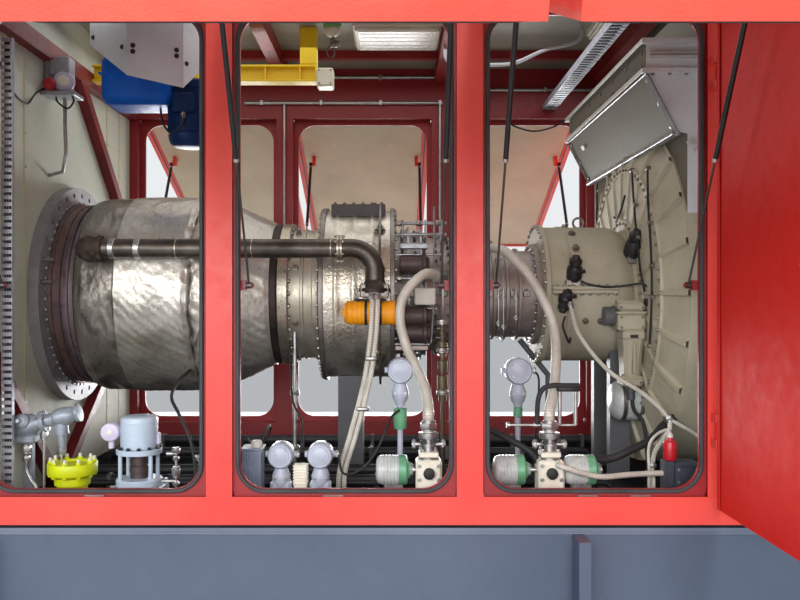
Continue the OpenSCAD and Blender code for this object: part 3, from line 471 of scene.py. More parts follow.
bay = 1.1
side_y = 1.2
sill_top = 0.741
opening_top = 2.893
post = 0.115
opening_mid = (sill_top + opening_top) / 2
strike = (0.09, 0.012, 0.006)
strikes = []
for place_x in (-0.6, 0.52, 0.75, -1.65):
    for s in (-1, 1):
        strikes.append(slab((place_x - strike[0] / 2, s * (side_y - 0.012) - strike[1] / 2, sill_top),
                (place_x + strike[0] / 2, s * (side_y - 0.012) + strike[1] / 2, sill_top + strike[2])))
add_piece("latch_strikes", [(strikes, bright_steel)])

box_cream = coat("wall_box_cream", (214, 210, 198), (196, 192, 178), 0.1, 0.4)
lug_nuts, weld_lines, conduits, wall_boxes = [], [], [], []
for s in (-1, 1):
    for i in (1, 2, 3):
        for at in (-0.308, 0.308):
            for d in (-0.056, 0.056):
                x = (i - 2.5) * bay + at + d
                lug_nuts.append(bolts([(x, s * side_y, z) for z in (2.935, 3.005)], (0, s, 0), 0.018, 0.012))
                lug_nuts.append(slab((x - 0.018, s * side_y - 0.002, 2.918),
                        (x + 0.018, s * side_y + 0.004, 3.022), 0.002))
    for k in range(-2, 3):
        weld_lines.append(rod((k * bay - post / 2, s * (side_y - 0.001), sill_top), (k * bay + post / 2,
                s * (side_y - 0.001), sill_top), 0.0028, 8))
        weld_lines.append(rod((k * bay - post / 2, s * (side_y - 0.001), opening_top), (k * bay + post / 2,
                s * (side_y - 0.001), opening_top), 0.0028, 8))
for z, x0, x1 in ((3.18, -1.38, 0.05), (3, -1.38, 0.02), (3.09, 0.2, 1.3)):
    conduits.append(rod((x0, 1.066, z), (x1, 1.066, z), 0.013, 16))
    conduits += [slab((x - 0.012, 1.05, z - 0.018), (x + 0.012, 1.085, z + 0.018), 0.003)
        for x in np.arange(x0 + 0.12, x1, 0.42)]
for x, z in ((-1.1, 1.9), (0, 1.75), (1.1, 1.6)):
    wall_boxes.append(slab((x - 0.045, 1.04, z), (x + 0.045, 1.085, z + 0.13), 0.005))
    conduits.append(rod((x, 1.066, z + 0.13), (x, 1.066, 2.99), 0.009, 12))
for x in (0.148, 0.31):
    wall_boxes.append(turned([(0, 0), (0, 0.03), (0.01, 0.038), (0.1, 0.038), (0.11, 0.03), (0.11, 0)],
            (x, 1.045, 2.99), up, 28))
add_piece("frame_fittings", [(weld_lines, enclosure_red), (lug_nuts + conduits, bright_steel),
        (wall_boxes, box_cream)])

# Lips and seals of the openings
# A red steel lip set back in each opening, with round corners, and a black rubber bulb
# seal pushed over its edge, which the closed hatch presses on.
seal_rubber = coat("seal_black_rubber", (62, 62, 66), (46, 46, 50), 0.2, 0.55, peel=0.003, dust=0.3,
    dirt=(95, 92, 88))
lip = 0.032
lip_y = side_y - 0.02
lip_t = 0.015
corner = 0.12
seal_r = 0.0095


def round_frame(w, h, r, steps=10):
    """Points round a rectangle with round corners: four quarter circles, one after another."""
    a = np.linspace(0, pi / 2, steps)
    arc = np.stack([np.cos(a), np.sin(a)], -1) * r
    out = []
    for k, (sx, sz) in enumerate(((1, 1), (-1, 1), (-1, -1), (1, -1))):
        c, s = cos(k * pi / 2), sin(k * pi / 2)
        out.append(arc @ np.array([[c, s], [-s, c]]) + (sx * (w / 2 - r), sz * (h / 2 - r)))
    return np.vstack(out)


def lip_plate(x, y, face):
    """Flat frame between a square outline and a round-cornered one, as front, hole edge and back."""
    w, h = bay - post, opening_top - sill_top
    inner = round_frame(w - 2 * lip, h - 2 * lip, corner)
    outer = inner / np.maximum(np.abs(inner[:, :1]) / (w / 2), np.abs(inner[:, 1:]) / (h / 2))
    rings = []
    for outline, depth in ((outer, 0), (inner, 0), (inner, lip_t), (outer, lip_t)):
        rings.append(np.stack([x + outline[:, 0], np.full(len(outline), y - face * depth),
                opening_mid + outline[:, 1]], -1))
    grid = np.array(rings)
    return loft(grid if face < 0 else grid[::-1], along=True)


lips, seals = [], []
for face, bays in ((-1, (-1.5, -0.5, 0.5, 1.5)), (1, (-1.5, -0.5, 0.5))):
    for b in bays:
        lips.append(lip_plate(b * bay, face * lip_y, face))
        ring = round_frame(bay - post - 2 * lip + 2 * seal_r, opening_top - sill_top - 2 * lip + 2 * seal_r,
            corner)
        path = np.stack([b * bay + ring[:, 0], np.full(len(ring), face * (lip_y + seal_r * 0.8)),
                opening_mid + ring[:, 1]], -1)
        seals.append(tube(path, seal_r, 10, closed=True))
# The set-back lips take a darker copy of the frame red, as painted shade in the recess.
rebate_shade_red = coat("rebate_painted_shade", (158, 34, 38), (140, 28, 32), 0.5, 0.42, dust=0.15)
add_piece("opening_lips_and_seals", [(lips, rebate_shade_red), (seals, seal_rubber)],
    replaces=["opening_lips"])

# End walls
# Beige insulated lining panels inside and a red steel skin outside, braced at the exhaust
# end by a red cross beam and three slanting red bars round the exhaust flange.
liner_paint = coat("liner_beige_paint", (210, 202, 170), (196, 188, 156), 0.5, 0.6, dust=0.2,
    dirt=(110, 104, 88))
# The braces inside the end wall take a darker red: partly a darker inner paint, partly painted shade.
brace_shade_red = coat("brace_red_paint_and_shade", (130, 26, 32), (104, 20, 26), 0.3, 0.45)
wall_paint = coat("end_wall_paint", (204, 208, 192), (188, 194, 178), 0.5, 0.6, dust=0.2, dirt=(104, 104, 92))
cover_node(wall_paint, "exhaust_end_wall", "intake_end_wall")
cover_node(brace_shade_red, "end_wall_braces")
skins, skin_bolts, lining_strips, strip_rivets = [], [], [], []
for s, x in ((-1, 2.24), (1, 2.24)):
    for y0, y1 in ((-1.0835, -0.628), (0.628, 1.0835)) if s < 0 else ((-1.0835, 0), (0.002, 1.0835)):
        skins.append(slab((s * x, y0, 0.62), (s * (x + 0.006), y1, 3.248), 0.002))
    if s < 0:
        skins += [slab((-2.246, -0.628, z0), (-2.24, 0.628, z1), 0.002) for z0, z1 in ((0.62, 1.012),
                (2.268, 3.248))]
    for y in (-0.95, -0.68, 0.68, 0.95) if s < 0 else (-0.9, -0.6, -0.3, 0.3, 0.6, 0.9):
        skins.append(slab((s * 2.244, y - 0.02, 0.66), (s * 2.256, y + 0.02, 3.21), 0.004))
    for z in np.arange(0.7, 3.2, 0.207):
        skin_bolts.append(bolts([(s * 2.246, y, z) for y in (-1.06, 1.06)], (s, 0, 0), 0.016, 0.007))
for s, y_list in ((-1, (-0.86, -0.62, 0.62, 0.86)), (1, (-0.72, -0.36, 0, 0.36, 0.72))):
    for y in y_list:
        if s < 0:
            lining_strips.append(slab((-2.2005, y - 0.018, 0.63), (-2.1975, y + 0.018, 3.24), 0.001))
            strip_rivets.append(bolts([(-2.1975, y, z) for z in np.arange(0.75, 3.2, 0.17)], right, 0.009,
                    0.003, 0.0005))
        else:
            lining_strips.append(slab((2.1975, y - 0.018, 2.62), (2.2005, y + 0.018, 3.24), 0.001))
            strip_rivets.append(bolts([(2.1975, y, z) for z in np.arange(2.68, 3.2, 0.12)], left, 0.009,
                    0.003, 0.0005))
hole = np.linspace(0, 2 * pi, 96, endpoint=False)
circle = 0.6108 * np.stack([np.cos(hole), np.sin(hole)], -1)
square = circle / np.max(np.abs(circle), axis=1)[:, None] * 0.628
around_hole = loft([np.stack([np.full(96, x), edge[:, 0], edge[:, 1] + shaft_z], -1) for x,
        edge in ((-2.246, square), (-2.246, circle), (-2.24, circle), (-2.24, square))], along=True)
add_piece("end_skins", [(skins + [around_hole], enclosure_red), (skin_bolts, bright_steel),
        (lining_strips, liner_paint), (strip_rivets, bright_steel)])

# Roof and base fittings
# Roof sheets meet in raised seams between four lifting eyes. The base has weld beads where
# its webs meet the flanges, and one earthing stud near each corner.
roof_bits, roof_bolts, eyes = [], [], []
for k in range(-1, 2):
    roof_bits.append(slab((k * bay - 0.03, -1.196, 3.338), (k * bay + 0.03, 1.196, 3.346), 0.002))
    roof_bits.append(slab((k * bay - 0.006, -1.194, 3.344), (k * bay + 0.006, 1.194, 3.362), 0.003))
    roof_bolts.append(bolts([(k * bay + d, y, 3.346) for d in (-0.02, 0.02)
            for y in np.linspace(-1.12, 1.12, 11)], up, 0.014, 0.007))
for s in (-1, 1):
    roof_bits.append(slab((-2.25, s * 1.13, 3.338), (2.25, s * 1.196, 3.344), 0.002))
    roof_bolts.append(bolts([(x, s * 1.163, 3.344) for x in np.linspace(-2.15, 2.15, 25)], up, 0.014, 0.007))
    for x in (-1.95, 1.95):
        roof_bits.append(slab((x - 0.075, s * 1.02 - 0.06, 3.338), (x + 0.075, s * 1.02 + 0.06, 3.352),
                0.003))
        eyes.append(tube([(x + 0.032 * cos(a), s * 1.02, 3.378 + 0.032 * sin(a))
                for a in np.linspace(0, 2 * pi, 33)[:-1]], 0.009, 12, closed=True))
        eyes.append(turned([(0, 0.028), (0.01, 0.028), (0.012, 0.016), (0.018, 0.014)], (x, s * 1.02, 3.35),
                up, 28))
        roof_bolts.append(bolts([(x + dx, s * 1.02 + dy, 3.352) for dx in (-0.055, 0.055)
                for dy in (-0.042, 0.042)], up, 0.018, 0.012))
add_piece("roof_fittings", [(roof_bits, enclosure_red), (roof_bolts, bright_steel), (eyes, bright_steel)])
beads, base_bolts = [], []
for s in (-1, 1):
    for z in (0.024, 0.581):
        beads.append(tube([(-2.25, s * 1.2, z), (0, s * 1.2, z), (2.25, s * 1.2, z)], 0.006, 8))
    base_bolts.append(bolts([(-2.257, s * 0.9, 0.3)], left, 0.03, 0.018))
    base_bolts.append(bolts([(2.257, s * 0.9, 0.3)], right, 0.03, 0.018))
add_piece("base_fittings", [(beads, base_paint), (base_bolts, bright_steel)])

# Hatches
# Six flat insulated leaves, red outside and round their rim, lined with beige sheet
# inside, each hung from two hinges under the header and held up by two gas struts.
hatch_red = coat("hatch_red_paint", (232, 74, 56), (220, 60, 46), 0.9, 0.36, dust=0.1, dirt=(150, 60, 55))
for side in ("near", "far"):
    for i in (1, 2, 3):
        cover_node(hatch_red, f"hatch_{side}_{i}")

hinge_z = 2.97
hinge_y = side_y + 0.035
hatch_open = radians(68.4)
hatch_l = 2.24
hatch_w = bay - 0.062
hatch_rim = 0.06


def on_hatch(points, i, side):
    """Puts points that are given in a shut near hatch's own axes, about the middle of its
    hinge line, where that hatch hangs when raised."""
    c, s = cos(-hatch_open), sin(-hatch_open)
    p = np.array(points, float)
    y = p[:, 1] * c - p[:, 2] * s - hinge_y
    z = p[:, 1] * s + p[:, 2] * c + hinge_z
    return np.stack([p[:, 0] + (i - 2.5) * bay, y if side == "near" else -y, z], -1)


def turned_over(shape, i, side):
    """A hatch shape in place. Mirrored to the far side, its faces are turned back outwards."""
    points, faces = shape[:2]
    return on_hatch(points, i, side), [f if side == "near" else f[:, ::-1] for f in faces]


liner_low = (-bay / 2 + 0.012 + hatch_rim, 0.004, -hatch_l + hatch_rim)
liner_high = (liner_low[0] + hatch_w - 2 * hatch_rim, 0.0175, -0.02 - hatch_rim)
for side in ("near", "far"):
    for i in (1, 2, 3):
        body = f"hatch_{side}_{i}"
        sheet = slab((liner_low[0] + 0.001, 0.0142, liner_low[2] + 0.001), (liner_high[0] - 0.001,
                liner_high[1], liner_high[2] - 0.001))
        rivets = []
        for x in np.linspace(liner_low[0] + 0.03, liner_high[0] - 0.03, 5):
            for z in np.linspace(liner_low[2] + 0.03, liner_high[2] - 0.03, 8):
                rivets.append(turned([(0, 0.006), (0.002, 0.005), (0.003, 0.002)], (x, liner_high[1], z),
                        (0, 1, 0), 8))
        add_piece(f"hatch_lining_{side}_{i}", [(turned_over(sheet, i, side), liner_paint),
                (turned_over(joined(rivets), i, side), bright_steel)], body)
        press, hardware, rubber = [], [], []
        for x in (-0.27, 0.27):
            press.append(slab((x - 0.045, -0.0345, -hatch_l + 0.16), (x + 0.045, -0.0295, -0.18), 0.002))
        for x in (-0.34, 0.34):
            hardware.append(slab((x - 0.055, -0.034, -hatch_l + 0.055),
                    (x + 0.055, -0.0295, -hatch_l + 0.115), 0.002))
            hardware.append(turned([(0, 0.014), (0.012, 0.014), (0.014, 0.011), (0.026, 0.011)],
                    (x, -0.032, -hatch_l + 0.085), front, 20))
            hardware.append(slab((x - 0.01, -0.066, -hatch_l + 0.078), (x + 0.065, -0.054, -hatch_l + 0.092),
                    0.004))
        for s in (-1, 1):
            hardware.append(bolts([(s * 0.308 + d, -0.0305, -0.045) for d in (-0.025, 0.025)], front, 0.014,
                    0.008))
        path = round_frame(hatch_w - 0.075, hatch_l - 0.1, 0.05, 8)
        strip = np.stack([path[:, 0] + (liner_low[0] + liner_high[0]) / 2, np.full(len(path), 0.0215),
                path[:, 1] - hatch_l / 2 - 0.01], -1)
        rubber.append(tube(strip, 0.0042, 8, closed=True))
        add_piece(f"hatch_fittings_{side}_{i}", [(turned_over(joined(press), i, side), hatch_red),
                (turned_over(joined(hardware), i, side), bright_steel), (turned_over(joined(rubber), i, side),
                seal_rubber)], body)

# Gas struts
# A black painted tube slides over a bright rod; each end has an eye on a stud.
strut_black = coat("strut_black_paint", (34, 34, 36), (24, 24, 26), 0.1, 0.35, dust=0.15)
rod_steel = coat("rod_steel", (96, 92, 90), (70, 66, 66), 0.1, 0.3, 0.8)
for side in ("near", "far"):
    for i in (1, 2, 3):
        cover_node(strut_black, f"strut_tubes_{side}_{i}")
        cover_node(rod_steel, f"strut_rods_{side}_{i}")
        tilt = radians(31.776)
        face = -1 if side == "near" else 1
        way = np.array((0, face * sin(tilt), cos(tilt)))
        rings = []
        for s in (-1,) if (side, i) == ("near", 1) else (-1, 1):
            foot = np.array(((i - 2.5) * bay + s * (bay / 2 - 0.122), face * 1.14, 1.67))
            rings.append(turned([(0.588, 0.0108), (0.588, 0.0122), (0.6, 0.0122), (0.602, 0.0112)], foot, way,
                    28))
            rings.append(turned([(1.15, 0.0112), (1.152, 0.0122), (1.162, 0.0122), (1.164, 0.009)], foot, way,
                    28))
        add_piece(f"strut_rings_{side}_{i}", [(rings, bright_steel)],
            f"strut_tubes_{side}_{i}")

# Side door
# One flat insulated leaf hung on the post at the intake bay, swung out square.
# The door takes a deeper red than the frame though it is the same paint: painted shade.
door_shade_red = coat("door_painted_shade", (216, 42, 34), (202, 34, 28), 0.8, 0.6, dust=0.1, dirt=(120, 40, 40),
    specular=0.2)
cover_node(door_shade_red, "side_door")
door_y0, door_y1, door_z0, door_z1 = -2.422, -1.282, 0.706, 2.925
door_plates = [slab((1.1065, door_y0 + 0.07, door_z0 + 0.07), (1.1105, door_y1 - 0.07, door_z1 - 0.07),
        0.001)]
door_rivets = [bolts([(1.1105, y, z) for y in np.linspace(door_y0 + 0.09, door_y1 - 0.09, 6)
        for z in np.linspace(door_z0 + 0.09, door_z1 - 0.09, 10)], right, 0.01, 0.003, 0.0005)]
frame_line = round_frame(door_y1 - door_y0 - 0.09, door_z1 - door_z0 - 0.09, 0.05, 8)
door_seal = tube(np.stack([np.full(len(frame_line), 1.1065), frame_line[:, 0] + (door_y0 + door_y1) / 2,
        frame_line[:, 1] + (door_z0 + door_z1) / 2], -1), 0.0075, 10, closed=True)
door_edges = [slab((1.0495, door_y0 + 0.004, door_z0 + 0.004), (1.0525, door_y0 + 0.036, door_z1 - 0.004),
        0.001), slab((1.0495, door_y1 - 0.03, door_z0 + 0.004), (1.0525, door_y1 - 0.004, door_z1 - 0.004),
        0.001)]
handle_y, handle_z = door_y0 + 0.18, 1.72
door_metal = [slab((1.044, handle_y - 0.03, handle_z - 0.12), (1.0525, handle_y + 0.03, handle_z + 0.12),
        0.003), turned([(0, 0.016), (0.016, 0.016), (0.018, 0.012), (0.034, 0.012)],
        (1.046, handle_y, handle_z), left, 24), tube([(1.014, handle_y, handle_z),
        (1.012, handle_y + 0.05, handle_z), (1.012, handle_y + 0.12, handle_z),
        (1.016, handle_y + 0.135, handle_z)], 0.009, 14), rod((1.122, handle_y, door_z0 + 0.09),
        (1.122, handle_y, handle_z - 0.06), 0.008, 14), rod((1.122, handle_y, handle_z + 0.06),
        (1.122, handle_y, door_z1 - 0.09), 0.008, 14), slab((1.1105, handle_y - 0.035, handle_z - 0.08),
        (1.13, handle_y + 0.035, handle_z + 0.08), 0.005)]
door_metal += [slab((1.1105, handle_y - 0.022, z - 0.015), (1.131, handle_y + 0.022, z + 0.015), 0.003)
    for z in (0.9, 1.3, 2.15, 2.6)]
add_piece("door_fittings", [(door_plates, liner_paint), (door_rivets, bright_steel), (door_seal, seal_rubber),
        (door_edges, door_shade_red), (door_metal, bright_steel)], "side_door")

# Exhaust end
# A plain grey flange ring with empty bolt holes in front of a rolled steel cone that the
# heat has coloured brown and violet.
flange_grey = coat("exhaust_flange_steel", (160, 160, 164), (138, 138, 142), 0.12, 0.5, 0.3)
cover_node(flange_grey, "exhaust_flange", "exhaust_outlet")

# Steel coloured by heat: violet, brown and grey bands along the shaft, broken up by noise.
cone_steel, tree, shader = new_finish("heat_tinted_steel")
place = node(tree, "SeparateXYZ", {0: node(tree, "TexCoord").outputs["Object"]}).outputs
cloud = patches(tree, 0.22, 5, (3, 0.6, 0.6))
banded = calculated(tree, "ADD", place["X"], remap(tree, cloud, 0.3, 0.7, -0.03, 0.03))
ramp = node(tree, "ValToRGB", {0: remap(tree, banded, -2.15, -1.97, 0, 1)})
tones = [(0, (138, 124, 126)), (0.25, (146, 122, 118)), (0.5, (118, 102, 108)), (0.7, (154, 140, 150)),
    (1, (120, 106, 100))]
ramp.color_ramp.elements[0].color = linear(*tones[0][1])
ramp.color_ramp.elements[1].color = linear(*tones[-1][1])
for at, tone in tones[1:-1]:
    ramp.color_ramp.elements.new(at).color = linear(*tone)
stains = remap(tree, patches(tree, 0.03, 6), 0.5, 0.75, 0, 0.5)
base = blend_colours(tree, stains, ramp.outputs[0], linear(58, 44, 40))
feed(tree, shader, {"Base Color": base, "Metallic": 0.75,
        "Roughness": remap(tree, cloud, 0.3, 0.7, 0.38, 0.6)})
rough_surface(tree, patches(tree, 0.02, 4), 0.0012)
cover_node(cone_steel, "exhaust_diffuser")

x_cone, x_blanket, cone_r = -2.14, -1.99, 0.505
hub = (0, 0, shaft_z)
ridges = [turned([(x - 0.006, cone_r), (x - 0.003, cone_r + height), (x + 0.003, cone_r + height),
        (x + 0.006, cone_r)], hub, sides=128) for x, height in ((-2.118, 0.012), (-2.075, 0.007),
        (-2.035, 0.01), (-2.004, 0.014))]
add_piece("cone_ridges", [(ridges, cone_steel)])
studs = [rod((x_cone - 0.01, 0.563 * sin(a), shaft_z + 0.563 * cos(a)), (x_cone + 0.05, 0.563 * sin(a),
        shaft_z + 0.563 * cos(a)), 0.009, 12) for a in (radians(276), radians(288))]
dimples = bolts(ring_places(x_cone, 0.52, 60, start=0.05), right, 0.016, 0.009, 0.002)
add_piece("exhaust_ring_studs", [(studs + [dimples], bright_steel)])

# Insulation blanket
# Quilted panels of thin crinkled stainless foil laced round the diffuser: a short crumpled
# one, a long smooth one that laps over it, a gathered seam, and one that tapers to the turbine.
foil, tree, shader = new_finish("blanket_foil")
# A darker tone per point: partly soot, partly painted shade and painted highlight.
soot_and_shade = node(tree, "Attribute", attribute_name="soot_and_shade")
broad = remap(tree, patches(tree, 0.3, 5), 0.35, 0.65, 0, 1)
fine = patches(tree, 0.02, 8, (1, 1, 1), 0.7)
base = blend_colours(tree, broad, linear(220, 217, 209), linear(190, 185, 174))
base = blend_colours(tree, remap(tree, fine, 0.54, 0.8, 0, 0.4), base, linear(120, 112, 100))
base = blend_colours(tree, soot_and_shade.outputs["Fac"], base, linear(72, 66, 60))
feed(tree, shader, {"Base Color": base, "Metallic": 0.62,
        "Roughness": remap(tree, fine, 0.3, 0.7, 0.22, 0.46)})
rough_surface(tree, patches(tree, 0.022, 7, (1, 1, 1), 0.62), 0.0022)


def uneven(points, size, seed):
    """Random values from -1 to 1 at the corners of a turned cubic lattice, blended in between."""
    rng = np.random.default_rng(seed)
    turn = np.linalg.qr(rng.normal(size=(3, 3)))[0]
    table = rng.uniform(-1, 1, (32, 32, 32))
    p = points @ turn / size + 64
    cell = np.floor(p).astype(int)
    share = p - cell
    total = np.zeros(len(points))
    for corner in np.ndindex(2, 2, 2):
        at = (cell + corner) % 32
        total += np.prod(np.where(corner, share, 1 - share), axis=1) * table[at[:, 0], at[:, 1], at[:, 2]]
    return total


def creased(points, size, seed):
    """Sharp creases about size apart: the blended random values folded up at zero, from -1 to 1."""
    return 1 - 3 * np.abs(uneven(points, size, seed))


def step_up(x, at, width):
    """0 before a place and 1 after it, with an eased rise of a given width."""
    t = np.clip((x - at) / width + 0.5, 0, 1)
    return t * t * (3 - 2 * t)


x_taper, x_turbine = -1.32, -1
blanket_rows, blanket_sides = 290, 280
lap_x, seam_x = -1.785, -1.385
station = np.linspace(x_blanket, x_turbine, blanket_rows)[:, None]
angle = np.linspace(0, -2 * pi, blanket_sides, endpoint=False)[None, :]
smooth_r = np.interp(station, (x_blanket, x_blanket + 0.04, x_taper, x_turbine), (0.535, 0.545, 0.545, 0.405))
wall = np.stack(np.broadcast_arrays(station, smooth_r * np.sin(angle), smooth_r * np.cos(angle)), -1)
flat_wall = wall.reshape(-1, 3)
x, down = flat_wall[:, 0], 0.55 * np.arccos(np.clip(flat_wall[:, 2] / 0.56, -1, 1))
wander = 0.012 * uneven(flat_wall, 0.05, 3) + 0.02 * uneven(flat_wall, 0.16, 4)
first = 1 - step_up(x, lap_x, 0.012)
second = step_up(x, lap_x, 0.006) * (1 - step_up(x + wander, seam_x - 0.03, 0.03))
gather = np.exp(-((x + wander - seam_x) / 0.032) ** 2)
third = step_up(x, seam_x + 0.03, 0.05)
slant = 0.61 * x - 0.79 * down + 0.012 * uneven(flat_wall, 0.1, 5)
low_half = step_up(down, 0.8, 0.25)
height = 0.0045 * first * (creased(flat_wall * (1, 0.55, 0.55), 0.075, 6) - 0.3) + 0.009 * second
height += (0.0022 + 0.001 * low_half) * second * creased(flat_wall, 0.17, 7)
height += 0.0009 * second * low_half * np.sin(slant * 2 * pi / 0.042 + 4 * uneven(flat_wall, 0.12, 14))
height += 0.0008 * creased(flat_wall, 0.028, 8) + 0.0014 * creased(flat_wall, 0.065, 9)
height += gather * (0.007 * creased(flat_wall, 0.045, 10) + 0.003)
height -= 0.014 * np.exp(-((x + wander - seam_x + 0.004) / 0.006) ** 2)
height += third * (0.0035 * creased(flat_wall * (0.6, 1, 1), 0.11,
        11) + 0.0009 * np.sin((0.5 * x - 0.87 * down) * 2 * pi / 0.055 + 5 * uneven(flat_wall, 0.15, 12)))
rolled = step_up(x, x_blanket + 0.012, 0.024) * (1 - step_up(x, x_turbine - 0.012, 0.024))
new_r = (np.hypot(flat_wall[:, 1], flat_wall[:, 2]) + height * rolled)
scale = new_r / np.hypot(flat_wall[:, 1], flat_wall[:, 2])
skin = np.stack([x, flat_wall[:, 1] * scale, flat_wall[:, 2] * scale + shaft_z], -1).reshape(wall.shape)
inner_r = np.array([0.501, 0.361])
inner = skin[[0, -1]].copy()
for row, r in enumerate(inner_r):
    inner[row, :, 1], inner[row, :, 2] = r * np.sin(angle[0]), r * np.cos(angle[0]) + shaft_z
blanket_grid = np.concatenate([skin, inner[1:], inner[:1]])
# The darker tone: more over the short crumpled panel; painted shade in the creases, the seam groove and on
# the lower half; less on the long panel's upper half as a painted highlight, and less on the tapering panel;
# random soot patches.
soot_and_shade_values = np.clip(0.62 * first + 0.04 + 0.5 * np.clip(-height / 0.008, 0, 1) + 0.34 * low_half * (1 - first)
    + 0.3 * uneven(flat_wall, 0.09, 13) - 0.25 * second * (1 - low_half) - 0.22 * third, 0, 0.85)
soot_and_shade_values = np.concatenate([soot_and_shade_values, np.full(2 * blanket_sides, 0.6)])
add_piece("quilted_blanket", [(loft(blanket_grid, along=True), foil)], crease=60,
    replaces=["insulation_blanket"], values={"soot_and_shade": soot_and_shade_values})

# Turbine casing
# Cast casing with two thick flanges bolted face to face. The joint next to the blanket is
# black with heat, the flange in front of it is machined bright.
casing_metal = coat("turbine_casing_metal", (216, 210, 194), (180, 172, 156), 0.15, 0.36, 0.65)
scorched = coat("scorched_metal", (70, 56, 54), (44, 38, 38), 0.1, 0.5, 0.5)
machined = coat("machined_flange", (206, 200, 184), (184, 176, 158), 0.2, 0.28, 0.85)
nut_steel = coat("nut_steel", (150, 146, 138), (112, 106, 100), 0.05, 0.35, 0.8)
x_combustor, x_compressor = -0.73, -0.325
turbine_r, joint_r = 0.37, 0.405
black_band = [(-1, 0.36), (-1, 0.399), (-0.992, 0.403), (-0.966, 0.403), (-0.957, 0.396), (-0.957, 0.36)]
front_flange = [(-0.957, 0.36), (-0.957, 0.402), (-0.953, joint_r), (-0.905, joint_r), (-0.9, 0.4),
    (-0.9, 0.36)]
barrel = [(-0.901, 0.375), (-0.893, turbine_r), (-0.838, turbine_r), (-0.834, 0.376), (-0.822, 0.376),
    (-0.818, turbine_r), (-0.775, turbine_r), (-0.77, 0.382), (-0.744, 0.382), (-0.74, 0.366), (-0.73, 0.366)]
port_angles = np.radians((200, 245, 292, 335, 20, 65, 110, 155))
ports = []
for a in port_angles:
    way, foot = spoke(-0.862, turbine_r - 0.004, a)
    ports += [turned([(0, 0.016), (0.014, 0.016), (0.016, 0.011), (0.03, 0.011)], foot, way, 16),
        turned([(0.016, 0.013), (0.026, 0.013)], foot, way, 6)]
add_piece("turbine_body", [(turned(black_band, hub, sides=160), scorched),
        (turned(front_flange, hub, sides=160), machined), (turned(barrel, hub, sides=160), casing_metal),
        (ports, nut_steel), (bolts(ring_places(-0.9, 0.387, 36), right, 0.02, 0.013), nut_steel),
        (bolts(ring_places(-0.957, 0.386, 36), left, 0.018, 0.012), scorched)],
    replaces=["turbine_casing"])

# Combustor casing
# The widest casing: sheet hammered over its ribs and dulled by heat, between two bolted
# rims, with burner bosses round it that a ring of small pipes feeds.
combustor_metal = coat("combustor_metal", (230, 224, 210), (186, 178, 164), 0.1, 0.3, 0.85, peel=0.016,
    depth=0.0035)
rim_metal = coat("combustor_rim_metal", (150, 146, 140), (116, 110, 106), 0.1, 0.36, 0.75)
cover_grey = coat("cover_plate_grey", (92, 88, 88), (76, 74, 76), 0.2, 0.5, 0.3)
combustor_r, rim_r = 0.48, 0.495
rims, rim_bolts = [], []
for x0, x1, way in ((x_combustor, x_combustor + 0.026, -1), (x_compressor - 0.026, x_compressor, 1)):
    rims.append(turned([(x0, 0.36), (x0, rim_r - 0.003), (x0 + 0.003, rim_r), (x1 - 0.003, rim_r),
            (x1, rim_r - 0.003), (x1, 0.36)], hub, sides=160))
    face = x0 if way < 0 else x1
    rim_bolts.append(bolts(ring_places(face, rim_r - 0.016, 48), (way, 0, 0), 0.017, 0.011))
ribs = [(x_combustor + 0.026, combustor_r)]
for x in (-0.64, -0.545, -0.45):
    ribs += [(x - 0.014, combustor_r - 0.003), (x - 0.006, combustor_r + 0.002),
        (x + 0.006, combustor_r + 0.002), (x + 0.014, combustor_r - 0.003)]
ribs.append((x_compressor - 0.026, combustor_r))
burners, feeds = [], []
feed_r = combustor_r + 0.052
for a in np.radians(np.arange(15, 360, 30)):
    if abs(a) < 0.3 or abs(a - 2 * pi) < 0.3 or abs(a - pi) < 0.3:
        continue
    way, foot = spoke(-0.405, combustor_r - 0.006, a)
    burners += [turned([(0, 0.03), (0.01, 0.03), (0.012, 0.021), (0.03, 0.021), (0.032, 0.012),
            (0.046, 0.012)], foot, way, 20), bolts(foot + way * 0.01 + np.array([(0.025, 0, 0),
            (-0.025, 0, 0)]), way, 0.008, 0.006, 0.001)]
for start, end in ((20, 160), (200, 340)):
    a = np.radians(np.linspace(start, end, 40))
    feeds.append(tube(np.stack([np.full(40, -0.405), feed_r * np.sin(a), shaft_z + feed_r * np.cos(a)], -1),
            0.007, 10))
add_piece("combustor_body", [(turned(ribs, hub, sides=160), combustor_metal), (rims, rim_metal),
        (rim_bolts, nut_steel), (burners, nut_steel), (feeds, rim_metal)],
    replaces=["combustor_casing"])
cover_node(cover_grey, "combustor_cover")
cover_x = (-0.6775, -0.3775)
cover_top = shaft_z + combustor_r + 0.018
edge = [(x, y, cover_top) for x in np.linspace(cover_x[0] + 0.02, cover_x[1] - 0.02, 6)
    for y in (-0.19, 0.19)]
edge += [(x, y, cover_top) for x in (cover_x[0] + 0.02, cover_x[1] - 0.02) for y in (-0.11, 0, 0.11)]
add_piece("cover_bolts", [(bolts(edge, up, 0.017, 0.012), nut_steel)])

